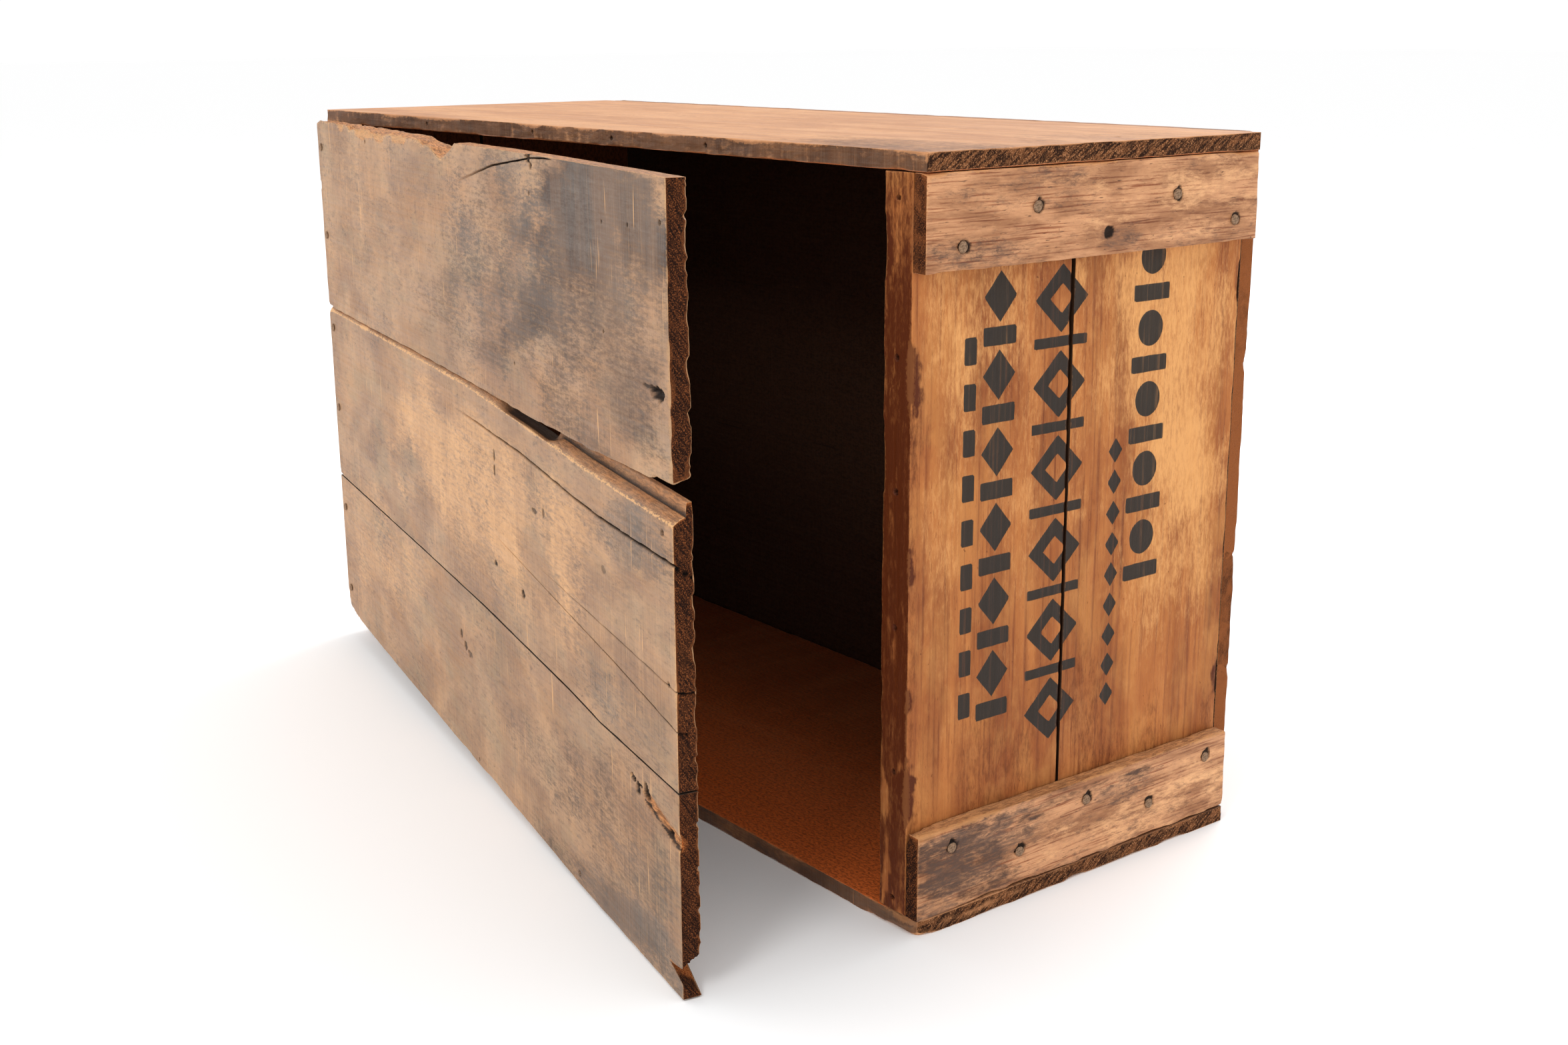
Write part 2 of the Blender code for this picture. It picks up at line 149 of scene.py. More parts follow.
class Board:
    """A board's lattice skin, shaped by stages in its own u, v, w."""

    def __init__(
        self,
        size,
        step,
        seed,
        arris=0.8,
        rough=0.5,
        chips=(),
        pits=(),
        splits=(),
        rails=(),
        marks=(),
        layers=(),
    ):
        """Lengths in step, arris and rough are in mm, and the rest in metres.

        chips are (u, v, w, reach, depth) and pits (u, height, w, reach, depth), reach and depth in mm.
        A hole's reach may be a pair, along and across the grain.
        splits are (v, half width in mm). rails are (v, path): lines of constant v to bend onto paths.
        marks are (u, reach in mm) and layers (w, reach in mm) where the lattice is closer.
        """
        self.size = np.array(size, float)
        self.seed = seed
        self.rails = rails
        self.pits = pits
        near = [[(place, reach * MM) for place, reach in spots] for spots in (marks, splits, layers)]
        for u, height, w, reach, _ in pits:
            reach_u, reach_v = np.broadcast_to(reach, 2) * MM
            near[0].append((u, reach_u))
            near[1].append((self.level(u, height), reach_v))
            if w > 0:
                near[2].append((w, reach_v))
        steps = (step * MM, step * MM, 2.5 * MM)
        lines = [lattice_lines(*side) for side in zip(size, steps, near)]
        places, self.quads, self.sides = lattice_skin([len(line) for line in lines])
        self.box = np.stack([line[places[:, axis]] for axis, line in enumerate(lines)], axis=-1)
        self.shift = np.array([seed * 1.7, seed * 0.9, seed * 0.5])
        self.wild = self.box + self.shift
        # Painted shade in holes, cracks, seams and crevices, from 0 to 1
        self.painted_shade = np.zeros(len(self.box))
        self.raw = np.zeros(len(self.box))
        self.round_off(arris * MM, rough, chips)

    def noise(self, wavelength, seed, octaves=2):
        """Noise at the board's own places, shifted so that no two boards match."""
        return noise(self.wild, wavelength, seed, octaves)

    def level(self, u, height):
        """The v that the rails carry to a height."""
        if not self.rails:
            return height
        heights = [along(path, u) for _, path in self.rails]
        return float(np.interp(height, heights, [level for level, _ in self.rails]))

    def round_off(self, arris, rough, chips):
        """Rounds every arris by a radius that wanders, and more where it is chipped."""
        worn = self.noise(0.012, self.seed, 3) + 0.6 * self.noise(0.05, self.seed + 3)
        radius = arris * np.clip(1 + rough * 1.6 * worn, 0.35, 4)
        self.chip = np.zeros(len(self.box))
        for *place, reach, depth in chips:
            far = self.box - np.array(place)
            far = np.linalg.norm(far * [0.4, 1, 1], axis=-1) / (reach * MM)
            far = far + 0.35 * self.noise(0.004, self.seed + 9)
            self.chip = np.maximum(self.chip, ease(far, 1, 0.5))
            radius = radius + depth * MM * ease(far, 1, 0.5)
        radius = np.minimum(radius, self.size.min() * 0.45)[:, None]
        core = np.clip(self.box, radius, self.size - radius)
        out = self.box - core
        self.out = out / np.linalg.norm(out, axis=-1, keepdims=True)
        self.place = core + self.out * radius
        gaps = np.sort(np.concatenate([self.box, self.size - self.box], axis=-1), axis=-1)
        self.edge = gaps[:, 1] - (radius[:, 0] - arris)

    def sink(self, depth):
        """Sets the surface in by a depth at each point."""
        self.place = self.place - self.out * np.asarray(depth)[:, None]

    def round_corner(self, radius):
        """Rounds the corner at the far end of the grain and the low side, seen square on."""
        into_u = np.maximum(radius - (self.size[0] - self.place[:, 0]), 0)
        into_v = np.maximum(radius - self.place[:, 1], 0)
        far = np.hypot(into_u, into_v)
        keep = np.where((into_u > 0) & (into_v > 0) & (far > radius), radius / np.maximum(far, radius), 1)
        self.place[:, 0] -= into_u * (1 - keep)
        self.place[:, 1] += into_v * (1 - keep)

    def weather(self, face=0.12, sides=0.25, ends=0.3):
        """Uneven faces, fibrous long edges and saw-marked ends. Depths are in mm."""
        weight = self.out**2
        wavy = self.noise((0.09, 0.012, 0.02), self.seed + 20, 2) * 0.5 + 0.5
        fibre = self.noise((0.004, 0.0012, 0.0012), self.seed + 22, 2) * 0.5 + 0.5
        ragged = self.noise((0.01, 0.002, 0.004), self.seed + 21, 2) * 0.5 + 0.5
        slanted = self.wild[:, 1] * 0.8 + self.wild[:, 2] * 0.6
        sawn = np.stack([self.wild[:, 0], slanted, slanted * 0 + self.seed], axis=-1)
        sawn = noise(sawn, (0.05, 0.0022, 1), self.seed + 23, 2) * 0.5 + 0.5
        depth = weight[:, 2] * wavy * face + weight[:, 1] * ragged * sides
        depth = depth + weight[:, 0] * (sawn * 0.7 + fibre * 0.3) * ends
        self.sink(depth * MM)

    def crack(self, v, start, end, width, depth, through_end=False, slant=0.0):
        """A split along the grain at v from start to end, painted with shade inside. Width and depth are in
        mm.
        """
        opening = ease(self.box[:, 0], start, start + 0.08) ** 0.5
        opening = opening * (0.45 + 0.55 * ease(self.box[:, 0], start, end))
        if not through_end:
            opening = opening * ease(self.box[:, 0], end, end - 0.012)
        jag = 0.35 * width * MM * self.noise((0.009, 1, 1), self.seed + 81, 2)
        off = np.abs(self.box[:, 1] - v + jag) / (width * MM)
        front = ease(-self.out[:, 2], 0.5, 0.9)
        self.sink(np.clip(1.15 - off, 0, 1) * opening * front * depth * MM)
        # Painted shade inside the split
        self.paint_shade(ease(off, 1.25, 0.75) * opening * front)
        if through_end:
            bent = 0.0008 * self.noise((1, 1, 0.004), self.seed + 80)
            off = np.abs(self.box[:, 1] - v + slant * self.box[:, 2] + bent) / (width * MM)
            shown = ease(off, 1.5, 0.8) * ease(self.out[:, 0], 0.5, 0.9)
            self.sink(shown * 0.0012)
            # Painted shade in the split where it runs across the end
            self.paint_shade(shown)

    def follow(self):
        """Bends the board onto its rails."""
        u, v = self.place[:, 0], self.place[:, 1]
        levels = [level for level, _ in self.rails]
        heights = [along(path, u) for _, path in self.rails]
        bent = heights[0] + (v - levels[0])
        for index in range(len(levels) - 1):
            part = (v - levels[index]) / (levels[index + 1] - levels[index])
            between = heights[index] + (heights[index + 1] - heights[index]) * part
            bent = np.where(v >= levels[index], between, bent)
        self.place[:, 1] = np.where(v > levels[-1], heights[-1] + (v - levels[-1]), bent)

    def dig(self):
        """Sinks the board's holes, torn at the rim, and paints shade into them. Shallow ones get lighter
        painted shade.
        """
        torn = 0.4 * self.noise(0.0025, self.seed + 30, 2)
        before = self.place.copy()
        for *middle, reach, depth in self.pits:
            reach_u, reach_v = np.broadcast_to(reach, 2) * MM
            far = (before - np.array(middle)) / (reach_u, reach_v, max(reach_u, reach_v))
            far = np.linalg.norm(far, axis=-1) + torn
            self.sink(ease(far, 1.05, 0.7) * depth * MM)
            # Painted shade in each hole, darker for deeper holes
            shade = min(1, 0.45 + 0.3 * depth)
            self.paint_shade(shade * ease(far, 1.2, 0.8))

    def wear(self, foot=0.0, head=0.0, start=0.0, end=0.0, inner=0.3):
        """How pale the show face's four arrises and the inner face's arrises are worn."""
        low, high = self.box, self.size - self.box
        off_sides = ease(np.minimum(low[:, 1], high[:, 1]), 0.0004, 0.002)
        field = np.zeros(len(self.box))
        reach = 0.006
        for gap, amount in ((low[:, 0], start), (high[:, 0], end)):
            field = np.maximum(field, amount * off_sides * ease(gap, reach, 0))
        for gap, amount in ((low[:, 1], foot), (high[:, 1], head)):
            field = np.maximum(field, amount * ease(gap, reach, 0))
        behind = ease(self.box[:, 2], self.size[2] * 0.4, self.size[2] * 0.6)
        return field * (1 - behind) + inner * behind

    def blotch(self, spots, seed=0, ragged=0.45, drift=(0.05, 0.025, 0.025)):
        """A painted field from spots of (u, v, reach along u, reach along v, amount)."""
        field = np.zeros(len(self.place))
        drift = ragged * self.noise(drift, self.seed + 40 + seed, 4)
        for u, v, reach_u, reach_v, amount in spots:
            far = np.hypot((self.place[:, 0] - u) / reach_u, (self.place[:, 1] - v) / reach_v)
            field += amount * ease(far + drift, 1.1, 0.3)
        return field

    def facing(self, axis, sign=1, start=0.4, end=0.9):
        """1 where the surface looks along an axis of the board, 0 where it looks elsewhere."""
        return ease(sign * self.out[:, axis], start, end)

    def paint_shade(self, share):
        """Paints shade into the surface, wherever it isn't painted as dark already."""
        self.painted_shade = np.maximum(self.painted_shade, share)

    def make(self, name, place, materials, **fields):
        """The board as an object. place maps u, v, w into the row frame; fields go to the shader."""
        turned = np.array(place.to_3x3())
        spots = self.place @ turned.T + np.array(place.translation)
        quads = self.quads if np.linalg.det(turned) > 0 else self.quads[:, ::-1]
        mesh = bpy.data.meshes.new(name)
        mesh.from_pydata(spots.tolist(), [], quads.tolist())
        mesh.polygons.foreach_set("material_index", (self.sides == 0).astype(np.int32))
        mesh.shade_smooth()
        for material in materials:
            mesh.materials.append(material)
        fields = {"edge": self.edge, "painted_shade": self.painted_shade, "raw": self.raw, **fields}
        for field, values in fields.items():
            layer = mesh.attributes.new(field, "FLOAT", "POINT")
            layer.data.foreach_set("value", np.asarray(values, np.float32))
        grain = mesh.attributes.new("grain", "FLOAT_VECTOR", "POINT")
        grain.data.foreach_set("vector", (self.place + self.shift).astype(np.float32).ravel())
        obj = bpy.data.objects.new(name, mesh)
        bpy.context.scene.collection.objects.link(obj)
        return obj


def adopt(obj, body, slot, *nodes):
    """The piece rides on a body and stands for CAD nodes."""
    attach(obj, body)
    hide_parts(*nodes)


def adopt_board(board, node, place, wood, end, slot, **fields):
    """Makes a board of the crate's own body, with its wood on the sides and its end grain."""
    adopt(board.make(node, place, (wood, end), **fields), "crate", slot, node)


# ---------------- materials


def srgb(red, green, blue):
    """A display colour from 0 to 255 as the linear colour that a shader takes."""
    channels = [value / 255 for value in (red, green, blue)]
    linear = [c / 12.92 if c <= 0.04045 else ((c + 0.055) / 1.055) ** 2.4 for c in channels]
    return (*linear, 1.0)


def mix(share, first, second):
    """A fixed colour part of the way from the first to the second."""
    return tuple(one + (other - one) * share for one, other in zip(first, second))


class Graph:
    """Short names for the shader nodes that the materials are made from."""

    def __init__(self, name):
        self.material = bpy.data.materials.new(name)
        self.material.use_nodes = True
        self.tree = self.material.node_tree
        self.shader = self.tree.nodes["Principled BSDF"]

    def put(self, socket, value):
        if isinstance(value, bpy.types.NodeSocket):
            self.tree.links.new(value, socket)
        else:
            socket.default_value = value

    def add(self, kind, *values, **settings):
        node = self.tree.nodes.new(kind)
        for setting, value in settings.items():
            setattr(node, setting, value)
        for index, value in enumerate(values):
            if value is not None:
                self.put(node.inputs[index], value)
        return node

    def attribute(self, name, output="Fac"):
        return self.add("ShaderNodeAttribute", attribute_name=name).outputs[output]

    def math(self, operation, first, second):
        return self.add("ShaderNodeMath", first, second, operation=operation).outputs[0]

    def times(self, first, second):
        return self.math("MULTIPLY", first, second)

    def plus(self, first, second):
        return self.math("ADD", first, second)

    def stretch(self, vector, scale):
        node = self.add("ShaderNodeVectorMath", vector, scale, operation="MULTIPLY")
        return node.outputs[0]

    def noise(self, vector, scale, detail=3.0, roughness=0.55, distortion=0.0):
        node = self.add("ShaderNodeTexNoise")
        self.put(node.inputs["Vector"], self.stretch(vector, scale))
        node.inputs["Scale"].default_value = 1.0
        node.inputs["Detail"].default_value = detail
        node.inputs["Roughness"].default_value = roughness
        node.inputs["Distortion"].default_value = distortion
        return node.outputs["Fac"]

    def remap(self, value, start, end, low=0.0, high=1.0):
        node = self.add("ShaderNodeMapRange", value, start, end, low, high)
        node.interpolation_type = "SMOOTHSTEP"
        return node.outputs[0]

    def blend(self, share, first, second, mode="MIX"):
        node = self.add("ShaderNodeMix", data_type="RGBA", blend_type=mode)
        for socket, value in zip((node.inputs[0], node.inputs[6], node.inputs[7]), (share, first, second)):
            self.put(socket, value)
        return node.outputs[2]

    def paint(self, share, colour, mode="MIX"):
        """Lays a colour over what is there so far."""
        self.colour = self.blend(share, self.colour, colour, mode)

    def bump(self, height, distance):
        node = self.add("ShaderNodeBump")
        node.inputs["Distance"].default_value = distance
        self.put(node.inputs["Height"], height)
        return node.outputs[0]

    def finish(self, roughness, normal, specular):
        self.put(self.shader.inputs["Base Color"], self.colour)
        self.put(self.shader.inputs["Roughness"], roughness)
        self.put(self.shader.inputs["Normal"], normal)
        self.shader.inputs["Specular IOR Level"].default_value = specular
        return self.material


def wood(name, *, clouds=(9, 24, 20), lines=(7, 420, 300), line_depth=0.35, patchy=0.4, brush=0.0,
         tints=(), gloss=0.25, **palette):
    """Bare old wood. The mesh's fields place its stains, worn arrises, torn fibres, holes, ink and painted
    shade.

    palette names the colours deep, base, light, grime, worn and inner, and may name torn_wood, grey and ink.
    grime also paints shade where the tone is lowered for it; inner, darkened on most woods, is partly
    painted shade of the crate's inside.
    """
    palette = {part: srgb(*colour) for part, colour in palette.items()}
    deep, base, light, grime, worn, inner = (
        palette[part] for part in ("deep", "base", "light", "grime", "worn", "inner")
    )
    grey, ink, bright = palette.get("grey"), palette.get("ink"), palette.get("torn_wood", worn)
    graph = Graph(name)
    grain = graph.attribute("grain", "Vector")
    cloud = graph.noise(grain, clouds, 6, 0.6, 0.5)
    patch = graph.noise(grain, (31, 40, 40), 6, 0.68, 0.3)
    line = graph.noise(grain, lines, 4, 0.6, 0.1)
    crumb = graph.noise(grain, (420, 700, 700), 3, 0.65)

    graph.colour = graph.blend(graph.remap(cloud, 0.36, 0.62), deep, base)
    graph.paint(graph.remap(patch, 0.48, 0.72, 0.0, patchy), light)
    graph.paint(graph.remap(line, 0.52, 0.3, 0.0, line_depth), deep, "MULTIPLY")
    pore = graph.noise(grain, (140, 1500, 1500), 2, 0.5)
    graph.paint(graph.remap(pore, 0.66, 0.73, 0.0, line_depth), grime)

    for index, tint in enumerate(tints):
        spread = graph.noise(graph.stretch(grain, (1, 1 + index, 1)), (13 + 5 * index, 17, 17), 5, 0.62, 0.4)
        graph.paint(graph.remap(spread, 0.46, 0.68, 0.0, 0.34), srgb(*tint))
    grit = graph.noise(grain, (130, 460, 460), 5, 0.75, 0.2)
    uneven = graph.remap(patch, 0.3, 0.7, -0.4 * patchy, 0.4 * patchy)
    ragged = graph.plus(uneven, graph.remap(grit, 0.35, 0.65, -0.2, 0.2))
    tone = graph.plus(graph.attribute("tone"), ragged)
    graph.paint(graph.remap(tone, 0.06, 1.0), light)
    # Low tone paints the grime colour: dirt, and painted shade where the tone is lowered as shade
    graph.paint(graph.remap(graph.times(tone, -1.0), 0.06, 1.0), grime)
    height = graph.plus(graph.times(line, 0.5), graph.times(crumb, 0.25))
    if grey:
        cast = graph.math("SUBTRACT", graph.attribute("grey"), ragged)
        graph.paint(graph.remap(cast, 0.08, 1.0, 0.0, 0.85), grey)
        for scale, share in (((45, 80, 80), 0.36), ((110, 250, 250), 0.55)):
            mottle = graph.remap(graph.noise(grain, scale, 7, 0.74, 0.8), 0.53, 0.59, 0.0, share)
            mottle = graph.times(mottle, graph.remap(cast, 0.0, 0.6, 0.15, 1.0))
            graph.paint(mottle, mix(0.45, grime, grey))
    if brush:
        drag = graph.noise(grain, (600, 10, 10), 5, 0.7, 0.2)
        bands = graph.remap(graph.noise(grain, (34, 5, 5), 4, 0.6, 0.3), 0.38, 0.62)
        graph.paint(graph.times(bands, 1.4 * brush), deep)
        spread = graph.noise(grain, (8, 15, 15), 3, 0.5)
        drawn = graph.remap(drag, 0.34, 0.66, -0.5 * brush, 0.5 * brush)
        drawn = graph.times(drawn, graph.remap(spread, 0.36, 0.6, 0.25, 1.0))
        graph.paint(graph.math("MAXIMUM", drawn, 0.0), light)
        graph.paint(graph.math("MAXIMUM", graph.times(drawn, -1.0), 0.0), grime)
        scratch = graph.noise(grain, (480, 22, 22), 2, 0.5, 0.3)
        scored = graph.times(graph.remap(scratch, 0.65, 0.73), graph.remap(spread, 0.42, 0.58))
        graph.paint(graph.times(scored, min(1, 3.0 * brush)), worn)
        height = graph.plus(height, graph.times(drag, 0.35))

    speck = graph.noise(grain, (260, 300, 300), 2, 0.5)
    graph.paint(graph.remap(speck, 0.72, 0.77, 0.0, 0.6), grime)
    # Inner faces: the inner colour, mottled darker; partly the wood's colour and partly painted shade of the
    # crate's dim inside
    inside_colour_and_shade = graph.blend(graph.remap(crumb, 0.35, 0.6), mix(0.55, inner, srgb(20, 10, 5)), inner)
    graph.paint(graph.attribute("inside"), inside_colour_and_shade)

    torn = graph.noise(grain, (150, 800, 800), 4, 0.75)
    fibre = graph.blend(graph.remap(torn, 0.4, 0.6), mix(0.65, bright, srgb(60, 24, 8)), bright)
    raw = graph.times(graph.attribute("raw"), graph.remap(crumb, 0.25, 0.5, 0.75, 1.0))
    graph.paint(raw, fibre)
    height = graph.plus(height, graph.times(graph.times(torn, raw), 1.8))

    if ink:
        printed = graph.remap(graph.attribute("ink"), -0.00015, 0.0002)
        printed = graph.times(printed, graph.remap(line, 0.28, 0.46, 0.8, 0.98))
        graph.paint(printed, ink)

    rub = graph.plus(graph.attribute("edge"), graph.remap(crumb, 0.3, 0.7, -0.0009, 0.0009))
    rub = graph.times(graph.remap(rub, 0.001, 0.0001), graph.attribute("wear"))
    graph.paint(rub, worn)
    # Painted shade in holes, cracks, seams and crevices, in near-black brown
    graph.paint(graph.remap(graph.attribute("painted_shade"), 0.1, 0.9, 0.0, 0.95), srgb(22, 13, 8))

    rough = graph.remap(line, 0.3, 0.7, 0.5, 0.68)
    return graph.finish(rough, graph.bump(height, 0.0008), gloss)


def end_grain(name, dark, base, light, saw_width=1300, stripes=0.5):
    """Sawn ends: dark, crossed by slanting saw lines and speckled with torn fibres."""
    graph = Graph(name)
    grain = graph.attribute("grain", "Vector")
    turned = graph.add("ShaderNodeVectorRotate", grain, rotation_type="X_AXIS")
    turned.inputs["Angle"].default_value = math.radians(34)
    saw = graph.noise(turned.outputs[0], (60, 110, saw_width), 3, 0.6)
    patch = graph.noise(grain, (60, 90, 150), 4, 0.6, 0.5)
    fleck = graph.noise(grain, (1100, 1500, 1500), 3, 0.65)
    sawn, torn = graph.times(saw, stripes), graph.times(fleck, 1 - stripes)
    mixed = graph.plus(sawn, torn)
    graph.colour = graph.blend(graph.remap(mixed, 0.42, 0.58), dark, base)
    graph.paint(graph.remap(patch, 0.45, 0.7, 0.0, 0.6), dark)
    bright = graph.times(graph.remap(fleck, 0.52, 0.66), graph.remap(saw, 0.38, 0.55, 0.25, 0.9))
    graph.paint(bright, light)
    tone = graph.plus(graph.attribute("tone"), graph.remap(patch, 0.35, 0.65, -0.15, 0.15))
    graph.paint(graph.remap(tone, 0.05, 0.9), light)
    rub = graph.plus(graph.attribute("edge"), graph.remap(fleck, 0.3, 0.7, -0.0006, 0.0006))
    rub = graph.times(graph.remap(rub, 0.0008, 0.0001), graph.attribute("wear"))
    graph.paint(rub, light)
    torn = graph.blend(graph.remap(fleck, 0.35, 0.6), srgb(150, 62, 20), srgb(232, 142, 78))
    graph.paint(graph.attribute("raw"), torn)
    # Painted shade in holes, splits and seams on the end grain
    graph.paint(graph.remap(graph.attribute("painted_shade"), 0.1, 0.9), srgb(14, 8, 5))
    height = graph.plus(graph.times(saw, 0.9), graph.times(fleck, 0.8))
    return graph.finish(0.85, graph.bump(height, 0.0014), 0.1)


def nail_metal():
    """Old wire nails: grey-brown, blotched with rust."""
    graph = Graph("nail_metal")
    spot = graph.add("ShaderNodeTexCoord").outputs["Object"]
    rust = graph.noise(spot, (900, 900, 900), 4, 0.6)
    graph.colour = graph.blend(graph.remap(rust, 0.35, 0.65), srgb(108, 84, 64), srgb(160, 130, 104))
    graph.paint(graph.remap(rust, 0.58, 0.75), srgb(118, 72, 42))
    graph.shader.inputs["Metallic"].default_value = 0.15
    return graph.finish(0.7, graph.bump(rust, 0.0004), 0.15)


def floor_paper():
    """Plain pale floor."""
    graph = Graph("floor_paper")
    graph.shader.inputs["Base Color"].default_value = srgb(251, 251, 251)
    graph.shader.inputs["Roughness"].default_value = 0.9
    graph.shader.inputs["Specular IOR Level"].default_value = 0.1
    return graph.material


# Each wood's inner colour is for its faces inside the crate; except on the shell wood it is darkened, as
# painted shade of the crate's inside.
FRONT_WOOD = wood(
    "front_wood",
    deep=(146, 112, 86),
    base=(178, 142, 110),
    light=(208, 160, 114),
    grime=(70, 50, 38),
    worn=(216, 166, 114),
    torn_wood=(210, 142, 86),
    inner=(150, 95, 58),
    tints=((196, 142, 92), (146, 132, 106), (150, 116, 96)),
    clouds=(12, 22, 20),
    line_depth=0.14,
    patchy=0.25,
    brush=0.24,
    grey=(104, 95, 88),
)
END_WOOD = wood(
    "end_wood",
    deep=(142, 80, 42),
    base=(182, 113, 60),
    light=(222, 160, 98),
    grime=(84, 36, 12),
    worn=(200, 134, 76),
    inner=(110, 62, 34),
    tints=((152, 82, 42), (200, 140, 78)),
    clouds=(6, 34, 34),
    lines=(9, 330, 330),
    line_depth=0.6,
    patchy=0.2,
    ink=(46, 42, 38),
    gloss=0.14,
)
BATTEN_WOOD = wood(
    "batten_wood",
    deep=(158, 108, 74),
    base=(208, 152, 110),
    light=(236, 180, 130),
    grime=(72, 46, 34),
    worn=(206, 146, 92),
    inner=(150, 95, 58),
    clouds=(14, 70, 40),
    lines=(26, 800, 600),
    line_depth=0.9,
    patchy=0.2,
    grey=(96, 76, 66),
    gloss=0.18,
)
SHELL_WOOD = wood(
    "shell_wood",
    deep=(184, 130, 90),
    base=(206, 152, 108),
    light=(228, 180, 134),
    grime=(84, 52, 32),
    worn=(204, 140, 88),
    inner=(216, 106, 46),
    brush=0.12,
    clouds=(5, 30, 30),
    lines=(7, 300, 260),
    line_depth=0.35,
    patchy=0.25,
    grey=(96, 80, 68),
)
BACK_WOOD = wood(
    "back_wood",
    deep=(122, 80, 48),
    base=(160, 108, 68),
    light=(190, 134, 88),
    grime=(70, 44, 28),
    worn=(190, 134, 84),
    inner=(66, 42, 28),
    tints=((130, 96, 70), (178, 112, 62)),
    brush=0.1,
)
DARK_END = end_grain("dark_end_grain", srgb(32, 15, 8), srgb(86, 46, 24), srgb(158, 92, 50))
SAWN_END = end_grain("sawn_end_grain", srgb(48, 26, 14), srgb(128, 80, 48), srgb(214, 150, 102), 700, 0.75)
NAIL_METAL = nail_metal()


# ---------------- laying boards in the frame

AXES = {"X": Vector((1, 0, 0)), "Y": Vector((0, 1, 0)), "Z": Vector((0, 0, 1))}


def lay(node, grain, across, face):
    """A CAD board's size along u, v and w, and the matrix that lays such a board in its place.

    grain and across are axis letters. face is the signed axis that the show face looks along.
    """
    low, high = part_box(node)
    sign = -1 if face[0] == "-" else 1
    corner = low.copy()
    depth_axis = "XYZ".index(face[1])
    if sign > 0:
        corner[depth_axis] = high[depth_axis]
    columns = (AXES[grain], AXES[across], AXES[face[1]] * -sign)
    place = Matrix.Translation(corner) @ Matrix(columns).transposed().to_4x4()
    extent = high - low
    size = [extent["XYZ".index(letter)] for letter in (grain, across, face[1])]
    return size, place


# ---------------- the ends


def bar(y, z, middle_y, middle_z, half_y, half_z):
    """How far inside a bar each point is. Negative is outside."""
    return np.minimum(half_y - np.abs(y - middle_y), half_z - np.abs(z - middle_z))


def disc(y, z, middle_y, middle_z, radius):
    return radius - np.hypot(y - middle_y, z - middle_z)


def lozenge(y, z, middle_y, middle_z, half_y, half_z):
    reach = 1 - np.abs(y - middle_y) / half_y - np.abs(z - middle_z) / half_z
    return reach * half_y * half_z / math.hypot(half_y, half_z)


def stencil(y, z):
    """A plain geometric ornament in five upright columns: how far inside its ink a point is."""
    marks = [np.full(len(y), -1.0)]
    for step in range(9):
        marks.append(bar(y, z, -0.0825, 0.118 + 0.0235 * step, 0.0042, 0.007))
        marks.append(lozenge(y, z, 0.0265, 0.1 + 0.0175 * step, 0.0055, 0.007))
    for step in range(6):
        middle = 0.112 + 0.04 * step
        marks.append(bar(y, z, -0.0625, middle, 0.0115, 0.0048))
        marks.append(lozenge(y, z, -0.0625, middle + 0.02, 0.0115, 0.013))
        middle = 0.102 + 0.045 * step
        hollow = lozenge(y, z, -0.0185, middle, 0.0085, 0.0078)
        marks.append(np.minimum(lozenge(y, z, -0.0185, middle, 0.0195, 0.018), -hollow))
        marks.append(bar(y, z, -0.0185, middle + 0.0225, 0.0195, 0.0028))
    for step in range(5):
        middle = 0.168 + 0.039 * step
        marks.append(bar(y, z, 0.0505, middle, 0.014, 0.0045))
        marks.append(disc(y, z, 0.0505, middle + 0.0195, 0.0098))
    return np.maximum.reduce(marks)


